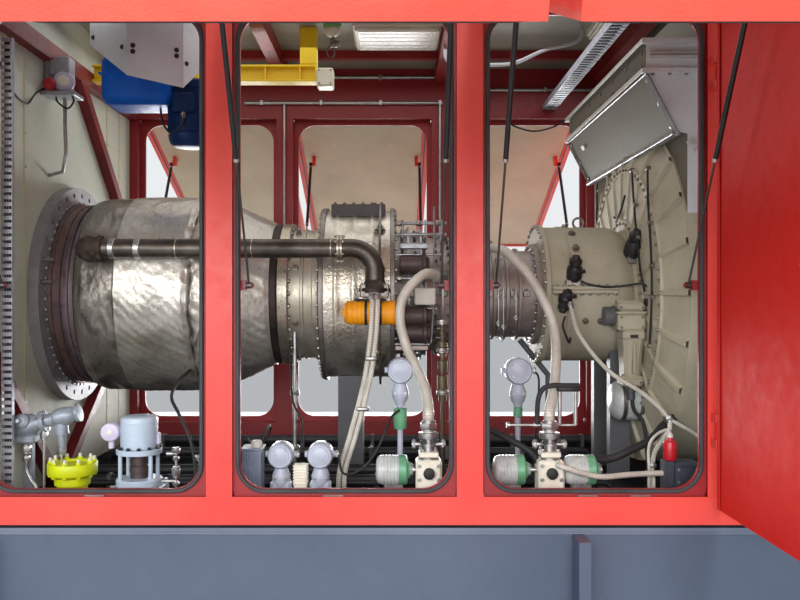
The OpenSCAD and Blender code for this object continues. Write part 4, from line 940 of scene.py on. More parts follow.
# Bleed pipe and starter cap
# Welded steel pipe that leaves the diffuser through the blanket, lies along the casings and
# turns down into a bell with a clamp, over the orange transit cap of the starter's port.
pipe_steel = coat("bleed_pipe_steel", (112, 106, 100), (76, 70, 64), 0.16, 0.36, 0.8)
burnt_wrap = coat("burnt_wrap", (74, 60, 48), (44, 38, 34), 0.03, 0.7, 0, peel=0.012, depth=0.003)
cap_orange = coat("cap_orange_plastic", (255, 172, 12), (246, 154, 8), 0.1, 0.5, dust=0.05)
black_rubber = coat("black_rubber", (40, 40, 42), (28, 28, 30), 0.1, 0.6)
pipe_r, pipe_y, pipe_z = 0.05, -0.55, 1.87
bend_r = 0.12
end_x, pipe_left = -0.43, -1.93
quarter = np.linspace(0, pi / 2, 10)
run = [(pipe_left, -0.46, pipe_z)]
run += [(pipe_left + 0.07 * (1 - cos(a)), pipe_y + 0.07 * (1 - sin(a)), pipe_z) for a in quarter]
run += [(x, pipe_y, pipe_z) for x in np.linspace(pipe_left + 0.09, end_x - bend_r - 0.01, 24)]
run += [(end_x - bend_r + bend_r * sin(a), pipe_y, pipe_z - bend_r + bend_r * cos(a)) for a in quarter]
run += [(end_x, pipe_y, pipe_z - bend_r - 0.04)]
welds = [turned([(-0.004, pipe_r), (-0.002, pipe_r + 0.003), (0.002, pipe_r + 0.003), (0.004, pipe_r)],
        (x, pipe_y, pipe_z), right, 32) for x in (-1.45, -1.06, -0.655)]
clamp_x = -0.61
joint = [turned([(0, pipe_r), (0.001, pipe_r + 0.019), (0.012, pipe_r + 0.021), (0.013, pipe_r)],
        (clamp_x - 0.014, pipe_y, pipe_z), right, 40), turned([(0, pipe_r), (0.001, pipe_r + 0.019),
        (0.012, pipe_r + 0.021), (0.013, pipe_r)], (clamp_x + 0.002, pipe_y, pipe_z), right, 40)]
joint_bolts = []
for a in np.arange(6) * pi / 3:
    place = np.array((clamp_x, pipe_y + 0.062 * sin(a), pipe_z + 0.062 * cos(a)))
    joint_bolts += [rod(place - (0.026, 0, 0), place + (0.026, 0, 0), 0.004, 8),
        bolts([place - (0.014, 0, 0)], left, 0.012, 0.009, 0.001), bolts([place + (0.015, 0, 0)], right,
            0.012, 0.009, 0.001)]
bell_z = pipe_z - bend_r - 0.04
bell = [(0, pipe_r), (0.012, 0.054), (0.03, 0.072), (0.04, 0.075), (0.048, 0.079), (0.058, 0.079),
    (0.062, 0.07), (0.07, 0.07), (0.071, 0.02)]
band_ring = [(0.043, 0.074), (0.046, 0.083), (0.06, 0.083), (0.063, 0.074)]
wraps = [turned([(0, pipe_r), (0.003, pipe_r + 0.004), (0.028, pipe_r + 0.004), (0.031, pipe_r)],
        (x, pipe_y, pipe_z), right, 32) for x in (-1.795, -1.665)]
rag_path = [(pipe_left + 0.01, -0.49, pipe_z - 0.01), (pipe_left + 0.02, pipe_y + 0.01, pipe_z),
    (-1.87, pipe_y, pipe_z), (-1.83, pipe_y, pipe_z)]
rag = hose_run(rag_path, 0.062, 28, 8)
rag_points = rag[0] + (rag[0] - (0, pipe_y, pipe_z)) * (0, 1, 1) * (0.14 * creased(rag[0], 0.03, 21))[:, None]
add_piece("bleed_pipe_run", [(tube(run, pipe_r, 40), pipe_steel), (welds + joint, machined),
        (joint_bolts, nut_steel), (turned(bell, (end_x, pipe_y, bell_z), (0, 0, -1), 40), pipe_steel),
        (turned(band_ring, (end_x, pipe_y, bell_z), (0, 0, -1), 40), scorched), (wraps, bright_steel),
        ((rag_points, rag[1]), burnt_wrap), (slab((end_x - 0.075, -0.6, 1.617), (end_x + 0.075, -0.478, 1.69),
        0.006), rim_metal), (bolts([(end_x + dx, -0.6, z) for dx in (-0.055, 0.055) for z in (1.635, 1.672)],
        front), nut_steel), (rod((end_x, -0.55, 1.69), (end_x, -0.55, 1.72), 0.022, 24), nut_steel)],
    replaces=["bleed_pipe"])

cap_x, cap_y, cap_z, cap_r = (-0.587, -0.325), -0.55, 1.54, 0.062
cap = [(0, 0), (0.001, 0.046), (0.01, 0.05), (0.012, 0.056), (0.02, cap_r)]
cap += [(0.02 + 0.012 * k + d, cap_r - (0 if k % 2 else 0.0015)) for k in range(18) for d in (0.002, 0.011)]
cap += [(0.25, cap_r), (0.252, cap_r + 0.004), (0.262, cap_r + 0.004), (0.262, 0)]
pull_tab = slab((-0.6, cap_y - 0.01, cap_z - 0.012), (-0.583, cap_y + 0.01, cap_z + 0.012), 0.003)
strap = [turned([(x, cap_r - 0.002), (x + 0.001, cap_r + 0.003), (x + 0.013, cap_r + 0.003),
        (x + 0.014, cap_r - 0.002)], (cap_x[0], cap_y, cap_z), right, 40) for x in (0.105, 0.18)]
add_piece("starter_transit_cap", [(turned(cap, (cap_x[0], cap_y, cap_z), right, 48), cap_orange),
        (pull_tab, cap_orange), (strap, black_rubber), (slab((-0.53, cap_y - 0.02, cap_z + 0.058),
        (-0.37, cap_y + 0.03, cap_z + 0.072), 0.003), black_rubber), (rod((-0.445, cap_y + 0.02, cap_z),
        (-0.445, -0.46, cap_z), 0.038, 24), rim_metal)], replaces=["starter_cap"])

# Compressor casing and vane linkage
# Grey cast casing in two halves bolted along a split line, with raised rings. Rows of vane
# stems stand out of it, each with a lever, moved together by rings, rails and one actuator.
compressor_grey = coat("compressor_casing_grey", (176, 164, 158), (146, 134, 130), 0.15, 0.42, 0.5)
linkage_steel = coat("linkage_steel", (176, 178, 182), (136, 138, 142), 0.08, 0.36, 0.7)
drum_brown = coat("actuator_brown", (92, 76, 74), (70, 58, 58), 0.08, 0.45, 0.3)
box_white = coat("instrument_white", (226, 224, 216), (210, 208, 198), 0.1, 0.4)
x_front, x_intake = 0.15, 0.486
third = 0.475 / 3
shell = [(x_compressor, 0.35), (x_compressor + third, 0.33), (x_compressor + third, 0.352),
    (x_compressor + third + 0.003, 0.355), (x_compressor + third + 0.017, 0.355),
    (x_compressor + third + 0.02, 0.33), (x_front - 0.025, 0.27), (x_front - 0.025, 0.282),
    (x_front - 0.022, 0.285), (x_front - 0.003, 0.285), (x_front, 0.282), (x_front, 0.25)]
for k in (1, 2, 3):
    x = x_front + 0.07 * k
    shell += [(x - 0.003, 0.25), (x + 0.001, 0.264), (x + 0.017, 0.264), (x + 0.021, 0.25)]
shell += [(x_intake - 0.03, 0.25), (x_intake - 0.03, 0.287), (x_intake - 0.027, 0.29),
    (x_intake - 0.003, 0.29), (x_intake, 0.287), (x_intake, 0.2)]
shell = [(x_compressor, 0.2)] + shell
ring_bolts = [bolts(ring_places(x_compressor + third, 0.345, 40), left),
    bolts(ring_places(x_front - 0.025, 0.277, 32), left), bolts(ring_places(x_intake - 0.03, 0.274, 32), left,
        0.016, 0.012)]
split = []
for s in (-1, 1):
    for x, r in ((-0.28, 0.345), (-0.23, 0.338), (-0.12, 0.325), (-0.06, 0.306), (0, 0.288), (0.06, 0.27),
            (0.19, 0.255), (0.26, 0.255), (0.33, 0.255), (0.4, 0.255)):
        split.append(slab((x - 0.02, s * r - 0.016, shaft_z - 0.016),
                (x + 0.02, s * r + 0.016, shaft_z + 0.016), 0.003))
        split.append(bolts([(x, s * (r + 0.004), shaft_z + 0.016)], up))
stems, levers, rings = [], [], []
for x, r, count in ((-0.285, 0.347, 36), (-0.215, 0.338, 36), (-0.1, 0.318, 32), (-0.03, 0.298, 32),
        (0.04, 0.28, 28)):
    ring_x = x + 0.034
    ring_r = r + 0.034
    rings.append(turned([(ring_x - 0.005, ring_r + 0.006), (ring_x + 0.005, ring_r + 0.006),
            (ring_x + 0.005, ring_r - 0.004), (ring_x - 0.005, ring_r - 0.004)], hub, sides=96, ring=True))
    for a in np.arange(count) * 2 * pi / count:
        way, foot = spoke(x, r - 0.01, a)
        stems.append(turned([(0, 0.009), (0.026, 0.009), (0.026, 0.006), (0.04, 0.006)], foot, way, 8))
        levers.append(tube([foot + way * 0.034, foot + way * 0.034 + (0.017, 0, 0),
                foot + way * 0.036 + (0.034, 0, 0)], 0.0045, 4))
add_piece("compressor_body", [(turned(shell, hub, sides=144), compressor_grey),
        (ring_bolts + split, nut_steel), (stems, nut_steel), (levers, linkage_steel), (rings, linkage_steel)],
    replaces=["compressor_casing"])

rail_y = -0.425
bars = []
for z in (2.012, 1.952):
    bars.append(rod((-0.318, rail_y, z), (-0.052, rail_y, z), 0.009, 12))
for x in (-0.285, -0.165, -0.075):
    bars.append(rod((x, rail_y, 1.935), (x, rail_y, 2.03), 0.006, 10))
    bars.append(tube([(x, rail_y, 1.945), (x, -0.4, 1.93), (x, -0.34, 1.86), (x, -0.3, 1.82)], 0.006, 8))
for z, (x0, x1) in ((1.845, (-0.32, -0.08)), (1.72, (-0.32, -0.06)), (1.56, (-0.3, -0.1)),
        (1.372, (-0.325, -0.14))):
    bars.append(rod((x0, rail_y - 0.005, z), (x1, rail_y - 0.005, z), 0.007, 10))
bars.append(tube([(-0.118, -0.44, 2.1), (-0.118, -0.44, 1.8), (-0.12, -0.45, 1.6), (-0.135, -0.44, 1.38),
        (-0.16, -0.4, 1.34)], 0.006, 8))
knobs = [union_nut((x, rail_y, z), right, 0.01, 0.03) for x in (-0.3, -0.2, -0.1) for z in (2.012, 1.72)]
knobs += [union_nut((x, rail_y - 0.005, 1.56), right, 0.009, 0.03) for x in (-0.27, -0.16)]
can = [(0, 0), (0.001, 0.046), (0.008, 0.052), (0.12, 0.052), (0.124, 0.058), (0.14, 0.058), (0.144, 0.04),
    (0.16, 0.036), (0.161, 0)]
cans = [turned(can, (-0.302, -0.42, 1.795), right, 32), turned(can, (-0.3, -0.44, 1.52), right, 32),
    turned(can, (-0.3, -0.44, 1.43), right, 32)]
add_piece("linkage", [(bars, linkage_steel), (knobs, nut_steel), (cans, drum_brown),
        (slab((-0.222, -0.48, 1.58), (-0.112, -0.39, 1.668), 0.005), box_white), (slab((-0.3, -0.455, 1.875),
        (-0.15, -0.4, 1.905), 0.004), linkage_steel), (slab((-0.325, -0.47, 1.34), (-0.15, -0.33, 1.366),
        0.004), compressor_grey)], replaces=["vane_linkage"])

# Air intake
# Cast intake casing and gearbox in cream primer bolted to the flat wall of a welded plenum
# with pressed radial folds, under a folded grey duct with angle-iron edges.
casing_cream = coat("casing_cream_paint", (188, 182, 162), (168, 160, 138), 0.3, 0.58, dust=0.2)
plenum_cream = coat("plenum_cream_paint", (192, 186, 164), (168, 162, 140), 0.4, 0.5, dust=0.25)
# The duct's side sheets are painted near white as painted light; its middle, with the sloping plate, a darker
# grey-beige as painted shade.
duct_lit_and_shaded_grey = coat("duct_grey_painted_light_and_shade", (226, 228, 230), (208, 210, 214), 0.3, 0.45, specular=0.02)
inner_paint_and_shade(duct_lit_and_shaded_grey, (("Y", 0.8685),), (112, 108, 96))
support_grey = coat("support_grey_paint", (96, 98, 102), (76, 78, 82), 0.3, 0.5)
black_cast = coat("black_cast", (44, 42, 44), (30, 28, 30), 0.06, 0.42, 0.2)
x_plate, x_plenum, x_drum, x_back = 0.988, 1, 1.06, 1.8
case_r = 0.385
body = [(x_intake, 0.27), (x_intake, 0.397), (x_intake + 0.003, 0.4), (x_intake + 0.024, 0.4),
    (x_intake + 0.027, 0.397), (x_intake + 0.03, case_r), (0.6, case_r), (0.604, 0.39), (0.622, 0.39),
    (0.626, case_r), (0.88, case_r), (0.9, 0.381), (0.94, 0.362), (0.962, 0.345), (0.964, 0.362),
    (x_plate, 0.362), (x_plate, 0.3)]
flanges, case_bolts = [], [bolts(ring_places(x_intake, 0.388, 40), left, 0.017, 0.012)]
for s in (-1, 1):
    for z0 in (1.64, 1.66):
        flanges.append(slab((0.513, s * 0.37, z0), (0.866, s * 0.418, z0 + 0.0185), 0.004))
    at = [(x, s * 0.405, z) for x in np.arange(0.535, 0.86, 0.045) for z in (1.64, 1.6785)]
    case_bolts.append(bolts([p for p in at if p[2] > 1.66], up, 0.016, 0.01))
    case_bolts.append(bolts([p for p in at if p[2] < 1.66], (0, 0, -1), 0.016, 0.01))
for a in np.radians((-70, -50, -30, 0, 30, 50, 70)):
    way, foot = spoke(0.66, case_r - 0.003, a)
    case_bolts.append(turned([(0, 0.022), (0.01, 0.022), (0.012, 0.014), (0.022, 0.014)], foot, way, 24))
for x in (0.7, 0.78, 0.86):
    place = np.array((x, -0.355, shaft_z - 0.145))
    case_bolts.append(turned([(0, 0.016), (0.014, 0.016), (0.015, 0.01), (0.022, 0.01)], place,
            (0, -0.92, -0.39), 16))
lift_eye = tube([(0.74 + 0.03 * sin(a), 0, shaft_z + case_r + 0.026 + 0.03 * cos(a))
        for a in np.linspace(0, 2 * pi, 25)[:-1]], 0.007, 10, closed=True)
add_piece("intake_body", [(turned(body, hub, sides=144), casing_cream), (flanges, casing_cream),
        (case_bolts, nut_steel), (lift_eye, nut_steel)], replaces=["intake_casing"])

gear = [slab((0.84, -0.5, 1.446), (0.984, -0.33, 1.532), 0.008), slab((0.834, -0.506, 1.532),
        (0.986, -0.33, 1.546), 0.003), slab((0.844, -0.5, 1.546), (0.984, -0.33, 1.592), 0.014),
    slab((0.85, -0.44, 1.59), (0.98, -0.33, 1.604), 0.004), slab((0.866, -0.5, 1.396), (0.984, -0.335, 1.45),
        0.012), slab((0.872, -0.47, 1.15), (0.984, -0.34, 1.196), 0.01), slab((0.86, -0.462, 1.192),
        (0.978, -0.345, 1.204), 0.003)]
leg_rows = []
for z, x0, x1, y0, y1 in ((1.4, 0.872, 0.982, -0.492, -0.345), (1.34, 0.878, 0.978, -0.478, -0.345),
        (1.26, 0.884, 0.974, -0.462, -0.345), (1.2, 0.886, 0.974, -0.455, -0.345)):
    leg_rows.append([(x0 + 0.02, y0, z), (x1 - 0.02, y0, z), (x1, y0 + 0.02, z), (x1, y1, z), (x0, y1, z),
            (x0, y0 + 0.02, z)])
gear.append(loft(leg_rows[::-1]))
gear.append(slab((0.919, -0.5, 1.22), (0.931, -0.44, 1.39), 0.003))
gear_bolts = bolts([(x, -0.496, z) for x in (0.856, 0.968) for z in (1.462, 1.516, 1.566)]
    + [(x, -0.482, 1.172) for x in (0.89, 0.966)], front, 0.013, 0.012)
gear_feet = bolts([(0.872, -0.452, 1.204)], up, 0.012, 0.01)
stubs = [turned([(0, 0.052), (0.01, 0.056), (0.016, 0.05), (0.058, 0.05), (0.06, 0)], (0.842, -0.415, 1.52),
        left, 32), turned([(0, 0.03), (0.03, 0.03), (0.032, 0.022), (0.075, 0.022), (0.076, 0)],
        (0.93, -0.41, 1.15), (0, 0, -1), 24)]
slot = slab((0.902, -0.5025, 1.408), (0.944, -0.498, 1.424), 0.001)
add_piece("gearbox", [(gear, casing_cream), ([gear_bolts, gear_feet], nut_steel), (stubs, support_grey),
        (slot, black_cast)], replaces=["accessory_drive"])

drives = []
for place, way, size in (((0.634, -0.365, 1.7), (0.03, -0.35, 0.94), 1), ((0.6, -0.385, 1.665),
            (-0.28, -0.3, -0.91), 0.9), ((0.965, -0.285, 1.83), (0.1, -0.45, 0.89), 1.15)):
    shape = [(-0.03, 0.022), (0, 0.024), (0.012, 0.036), (0.03, 0.042), (0.075, 0.042), (0.092, 0.036),
        (0.094, 0.026), (0.104, 0.026), (0.106, 0.034), (0.128, 0.034), (0.14, 0.022), (0.15, 0.02),
        (0.152, 0)]
    drives.append(turned([(a * size, b * size) for a, b in shape], place, way, 28))
    drives.append(turned([(0, 0.016), (0.026, 0.016), (0.028, 0.01), (0.055, 0.01), (0.056, 0)],
            np.array(place) + np.array(way) * 0.055 * size + (0, -0.03 * size, 0), (0.75, -0.65, 0.1), 16))
brackets = [slab((0.585, -0.4, 1.655), (0.672, -0.36, 1.715), 0.006), slab((0.935, -0.33, 1.8),
        (1.015, -0.245, 1.85), 0.006)]
black_leads = [hose_run([(0.665, -0.425, 1.705), (0.7, -0.44, 1.688), (0.8, -0.425, 1.674),
        (0.9, -0.435, 1.682), (0.97, -0.47, 1.69), (1.01, -0.485, 1.655), (1.012, -0.46, 1.6)], 0.006),
    hose_run([(0.985, -0.345, 1.9), (1.03, -0.4, 1.84), (1.045, -0.43, 1.74), (1.012, -0.455, 1.64),
        (0.992, -0.47, 1.6)], 0.006), hose_run([(0.575, -0.44, 1.52), (0.56, -0.45, 1.47),
        (0.575, -0.45, 1.42), (0.6, -0.42, 1.38), (0.62, -0.36, 1.4)], 0.006)]
plug = slab((0.985, -0.5, 1.575), (1.025, -0.45, 1.612), 0.004)
add_piece("guide_vane_actuators", [(drives, black_cast), (brackets, nut_steel), (black_leads, black_rubber),
        (plug, black_rubber)])

sectors = 24
fold_rows = []
for x_rise, x_flat, r in ((-0.006, -0.006, 0.35), (-0.006, -0.006, 0.7), (-0.002, 0.004, 0.735),
        (0.046, 0.06, 0.935), (0.056, 0.066, 0.9485)):
    row = []
    for k in range(sectors):
        for share, rise in ((-0.5, 0), (-0.09, 0), (-0.05, 1), (0.05, 1), (0.09, 0)):
            a = (k + share) * 2 * pi / sectors
            row.append((x_plenum + x_flat + (x_rise - x_flat - 0.01) * rise, r * sin(a),
                    shaft_z + r * cos(a)))
    fold_rows.append(row)
cone_wall = loft(fold_rows, ends=False)
drum_wall = [(x_drum + 0.004, 0.9), (x_drum, 0.948), (x_drum + 0.01, 0.95), (1.4, 0.95), (1.404, 0.956),
    (1.44, 0.956), (1.444, 0.95), (x_back - 0.02, 0.95), (x_back - 0.016, 0.957), (x_back - 0.002, 0.957),
    (x_back, 0.95), (x_back, 0.388), (x_back + 0.004, 0.385), (2.196, 0.385), (2.2, 0.385)]
collar = [(x_plate - 0.004, 0.34), (x_plate - 0.004, 0.424), (x_plate, 0.428), (x_plenum - 0.004, 0.428),
    (x_plenum - 0.002, 0.34)]
outer_band = [(x_plate - 0.001, 0.694), (x_plate - 0.001, 0.724), (x_plate + 0.004, 0.727),
    (x_plenum + 0.002, 0.727), (x_plenum + 0.002, 0.694)]
plenum_studs = bolts(np.concatenate([ring_places(x_plate - 0.004, 0.408, 40),
        ring_places(x_plate - 0.001, 0.71, 72)]), left)
add_piece("plenum_body", [(cone_wall, plenum_cream), (turned(drum_wall, hub, sides=180), plenum_cream),
        (turned(collar, hub, sides=128, ring=True), plenum_cream),
        (turned(outer_band, hub, sides=160, ring=True), plenum_cream), (plenum_studs, nut_steel)],
    replaces=["intake_plenum"])

runs = []
for points in ([(0.99, -0.22, 2.33), (0.972, -0.3, 2.22), (0.972, -0.34, 2.05), (0.972, -0.4, 1.88),
            (0.975, -0.43, 1.76), (0.99, -0.46, 1.64)], [(0.985, -0.52, 2.3), (0.976, -0.56, 2.1),
            (0.976, -0.6, 1.9), (0.976, -0.62, 1.7), (0.978, -0.6, 1.5), (0.985, -0.55, 1.36)],
        [(0.985, -0.1, 2.2), (0.974, -0.05, 2.12), (0.976, 0.05, 2.08), (0.985, 0.14, 2.1)]):
    runs.append(hose_run(points, 0.006))
clips = [slab((x - 0.004, y - 0.014, z - 0.01), (x + 0.02, y + 0.014, z + 0.01), 0.002) for x, y,
    z in ((0.968, -0.325, 2.12), (0.968, -0.375, 1.94), (0.971, -0.585, 2), (0.971, -0.612, 1.78),
        (0.972, -0.618, 1.62), (0.982, -0.22, 2.325), (0.98, -0.52, 2.29), (0.98, -0.55, 1.37))]
add_piece("plenum_leads", [(runs, black_rubber), (clips, nut_steel)])

cover_node(duct_lit_and_shaded_grey, "intake_duct")
cover_node(support_grey, "engine_supports")
duct_front, duct_side, duct_low = 0.873, 0.87, 2.684
flange_sheet = coat("duct_flange_sheet", (208, 206, 198), (188, 186, 178), 0.2, 0.4, 0.2, dust=0.15)
seams = [bolts([(duct_front, y, z) for y in np.linspace(-0.8, 0.8, 7) for z in (2.735, 2.8)], left, 0.014,
        0.007)]
strips = [slab((duct_front - 0.026, -0.897, z), (duct_front - 0.022, 0.897, z + 0.024), 0.001)
    for z in (2.684, 2.826)]
for s in (-1, 1):
    seams.append(bolts([(x, s * 0.884, 2.684) for x in np.arange(0.9, 1.78, 0.08)], (0, 0, -1), 0.014, 0.008))
    for z, x in ((2.352, 1.065), (2.318, 1.1), (2.775, 0.88), (2.76, 0.88)):
        strips.append(slab((x, s * 0.884 - 0.016, z), (1.795, s * 0.884 + 0.016, z + 0.01), 0.002))
    strips += [slab((x, s * duct_side - 0.01, 2.85), (x + 0.024, s * duct_side + 0.012, 3.24), 0.002)
        for x in (1.2, 1.5, 1.77)]
slope = np.array((duct_front - 1.016, 0, duct_low - 2.41))
slope = slope / np.linalg.norm(slope)
out = np.array((-slope[2], 0, slope[0]))
foot = np.array((1.016, 0, 2.41))
seams.append(bolts([foot + slope * t + (0, y, 0) for y in (-0.845, 0.845) for t in (0.03, 0.155, 0.28)], out,
        0.014, 0.008))
bars = [tube([foot + slope * t + out * 0.004 + (0, y, 0) for t in (-0.02, 0.1, 0.2, 0.305)], 0.012, 4)
    for y in (-0.878, 0.878)]
bars += [slab((0.992, -0.885, 2.392), (1.03, 0.885, 2.41), 0.003), slab((0.866, -0.885, 2.68),
        (0.878, 0.885, 2.69), 0.002)]
clip_at = foot + slope * 0.2176 + (0, 0.6, 0)
clip = loft([[clip_at + slope * a + (0, b, 0) + out * c for a, b in ((-0.014, -0.03), (0.014, -0.03),
        (0.014, 0.03), (-0.014, 0.03))] for c in (0, 0.014)])
add_piece("duct_edges", [(bars, linkage_steel), (seams, nut_steel), (strips, flange_sheet),
        (clip, box_white)])

# Roof space
# Yellow I-beam for lifting, blue fan and motor behind a folded white sheet hood, cream lamp
# housings and a perforated cable tray.
beam_yellow = coat("beam_yellow_paint", (246, 212, 26), (230, 194, 18), 0.4, 0.45)
fan_blue = coat("fan_blue_paint", (20, 96, 196), (14, 70, 156), 0.3, 0.42, dust=0, specular=0.15)
motor_navy = coat("motor_navy_paint", (14, 44, 92), (10, 32, 68), 0.2, 0.42, dust=0, specular=0.15)
hood_white = coat("hood_white_sheet", (208, 210, 214), (190, 193, 198), 0.3, 0.4, 0.1, dust=0.1)
lamp_cream = coat("lamp_cream_plastic", (226, 222, 200), (210, 206, 182), 0.2, 0.4)
lamp_opal = coat("lamp_opal_glass", (238, 238, 230), (230, 230, 222), 0.3, 0.25, dust=0.05)
cover_node(hood_white, "vent_duct")
beam_y, beam_z, beam_end = 0.204, 2.966, -0.792
i_beam = [slab((-2.139, beam_y - 0.05, beam_z - 0.05), (beam_end, beam_y + 0.05, beam_z - 0.038), 0.002),
    slab((-2.139, beam_y - 0.05, beam_z + 0.038), (beam_end, beam_y + 0.05, beam_z + 0.05), 0.002),
    slab((-2.139, beam_y - 0.01, beam_z - 0.04), (beam_end, beam_y + 0.01, beam_z + 0.04), 0.001),
    slab((beam_end - 0.1, beam_y - 0.05, beam_z + 0.049), (beam_end, beam_y + 0.05, 3.25), 0.01),
    slab((beam_end - 0.01, beam_y - 0.05, beam_z - 0.04), (beam_end, beam_y + 0.05, beam_z + 0.04), 0.002)]
for x in (-1.9, -1.5, -1.1, -0.892):
    i_beam.append(slab((x - 0.004, beam_y - 0.048, beam_z - 0.039),
            (x + 0.004, beam_y + 0.048, beam_z + 0.039), 0.001))
end_box = [slab((-0.7915, 0.144, 2.886), (-0.692, 0.264, 2.996), 0.008), slab((-0.786, 0.141, 2.892),
        (-0.698, 0.146, 2.99), 0.003)]
box_screws = bolts([(x, 0.141, z) for x in (-0.776, -0.708) for z in (2.902, 2.98)], front, 0.008, 0.004,
    0.001)
add_piece("beam_and_box", [(i_beam, beam_yellow), (end_box, lamp_cream), (box_screws, nut_steel)],
    replaces=["lifting_beam"])


def rounded_box(low, high, radius, rings=5):
    """Box whose corners are all rounded: level outlines with corner arcs that shrink near top and bottom."""
    low, high = np.array(low, float), np.array(high, float)
    bend = np.linspace(0, pi / 2, rings)
    levels = [(low[2] + radius * (1 - sin(a)), radius * (1 - cos(a))) for a in bend[::-1]]
    levels += [(high[2] - radius * (1 - sin(a)), radius * (1 - cos(a))) for a in bend]
    rows = []
    for z, inset in levels:
        r = max(radius - inset, 0.002)
        row = []
        for cx, cy, start in ((high[0] - radius, high[1] - radius, 0), (low[0] + radius, high[1] - radius,
                    90), (low[0] + radius, low[1] + radius, 180), (high[0] - radius, low[1] + radius, 270)):
            for a in np.radians(np.linspace(start, start + 90, rings)):
                row.append((cx + r * cos(a), cy + r * sin(a), z))
        rows.append(row)
    return loft(rows)


fan = [rounded_box((-1.889, -0.449, 2.645), (-1.509, -0.15, 2.914), 0.055, 8), slab((-1.893, -0.452, 2.8),
        (-1.505, -0.147, 2.808), 0.002), rod((-1.699, -0.3, 2.9), (-1.699, -0.3, 3.25), 0.06, 32),
    turned([(0, 0.13), (0.02, 0.13), (0.022, 0.1), (0.03, 0.06)], (-1.699, -0.3, 2.912), up, 40)]
motor = [(0, 0), (0, 0.06), (0.006, 0.09), (0.02, 0.108), (0.045, 0.117), (0.06, 0.119)]
motor += [(0.066, 0.119), (0.068, 0.114), (0.072, 0.114), (0.074, 0.119), (0.3, 0.119), (0.302, 0.114),
    (0.306, 0.114), (0.308, 0.119), (0.345, 0.119), (0.358, 0.108), (0.36, 0)]
motor_place = (-1.437, -0.3, 2.4326)
fins = []
for a in np.arange(36) * pi / 18:
    way = np.array((cos(a), sin(a), 0))
    side = np.array((-way[1], way[0], 0)) * 0.0025
    foot, tip = np.array(motor_place) + way * 0.113, np.array(motor_place) + way * 0.1225
    fins.append(loft([[foot + side + (0, 0, z), tip + side * 0.6 + (0, 0, z), tip - side * 0.6 + (0, 0, z),
            foot - side + (0, 0, z)] for z in (0.08, 0.295)]))
neck = [slab((-1.6, -0.4, 2.66), (-1.42, -0.2, 2.78), 0.02), slab((-1.5, -0.455, 2.6), (-1.39, -0.4, 2.7),
        0.006)]
fan_nuts = bolts([(-1.869, y, 2.808) for y in (-0.4, -0.2)], up, 0.014, 0.01)
gland = turned([(0, 0.014), (0.02, 0.014), (0.022, 0.009), (0.03, 0.009)], (-1.445, -0.43, 2.6), (0, 0, -1),
    16)
fan_lead = hose_run([(-1.445, -0.43, 2.575), (-1.46, -0.42, 2.53), (-1.52, -0.38, 2.5), (-1.58, -0.33, 2.56),
        (-1.6, -0.31, 2.65)], 0.006, 10, 8)
add_piece("fan_and_motor", [(fan, fan_blue), (turned(motor, motor_place, up, 64), motor_navy),
        (fins + neck, motor_navy), ([fan_nuts, gland], nut_steel), (fan_lead, black_rubber)],
    replaces=["vent_fan"])
hood_corner = np.array([(-1.933, -0.45), (-1.644, -0.75), (-1.393, -0.65), (-1.274, -0.45)])
hood_bolts = []
for at, a, b, zs in ((0, 0, 1, (3.15, 2.98)), (1, 1, 2, (3.1, 2.86, 2.83)), (0, 1, 2, (3.1, 2.86, 2.83)),
        (0, 2, 3, (3.05, 2.8)), (1, 0, 1, (3.1, 2.86))):
    start, end = hood_corner[a], hood_corner[b]
    way = np.array((end[1] - start[1], start[0] - end[0], 0))
    way = way / np.linalg.norm(way)
    way = way if way[1] < 0 else -way
    spot = start + (end - start) * (0.1 if at == 0 else 0.88)
    hood_bolts.append(bolts([(spot[0], spot[1], z) for z in zs], way, 0.018, 0.009))
folds = [rod((hood_corner[k][0], hood_corner[k][1], z), (hood_corner[k][0], hood_corner[k][1], 3.249), 0.004,
        8) for k, z in ((1, 2.712), (2, 2.674))]
add_piece("hood_bolts", [(hood_bolts, scorched), (folds, hood_white)])

lining_paint = coat("ceiling_lining_grey", (150, 146, 132), (132, 128, 114), 0.5, 0.6, dust=0.2)
lamp_green = coat("detector_green", (110, 176, 96), (92, 156, 80), 0.1, 0.4)
add_piece("ceiling_lining", [([slab((-2.196, -1.083, 3.2445), (1.17, 1.083, 3.2498)),
        slab((1.806, -1.083, 3.2445), (2.196, 1.083, 3.2498))], lining_paint)])
roof_pipe = hose_run([(-0.02, 0.2, 3.14), (-0.01, 0.2, 3.06), (0.05, 0.2, 3.022), (0.228, 0.2, 3.026),
        (0.397, 0.2, 3.038), (0.585, 0.2, 3.117), (0.742, 0.2, 3.153), (0.8, 0.2, 3.19), (0.81, 0.2, 3.246)],
    0.011, 14)
detector_cap = turned([(0, 0.052), (0.01, 0.054), (0.022, 0.052), (0.03, 0.044)], (-0.695, 0.1, 3.246),
    (0, 0, -1), 32)
detector = turned([(0, 0.04), (0.01, 0.047), (0.026, 0.046), (0.044, 0.034), (0.052, 0.018), (0.054, 0)],
    (-0.695, 0.1, 3.218), (0, 0, -1), 32)
eye_arm = rod((-0.69, 0.1, 3.17), (-0.676, 0.1, 3.12), 0.007, 12)
eye = turned([(0, 0), (0, 0.02), (0.05, 0.02), (0.054, 0.014), (0.054, 0)], (-0.7, 0.12, 3.128),
    (0.85, -0.45, -0.1), 24)
eye_lead = hose_run([(-0.7, 0.125, 3.128), (-0.725, 0.13, 3.1), (-0.722, 0.12, 3.06), (-0.695, 0.11, 3.045),
        (-0.682, 0.12, 3.07), (-0.7, 0.14, 3.14), (-0.71, 0.15, 3.246)], 0.004, 8, 8)
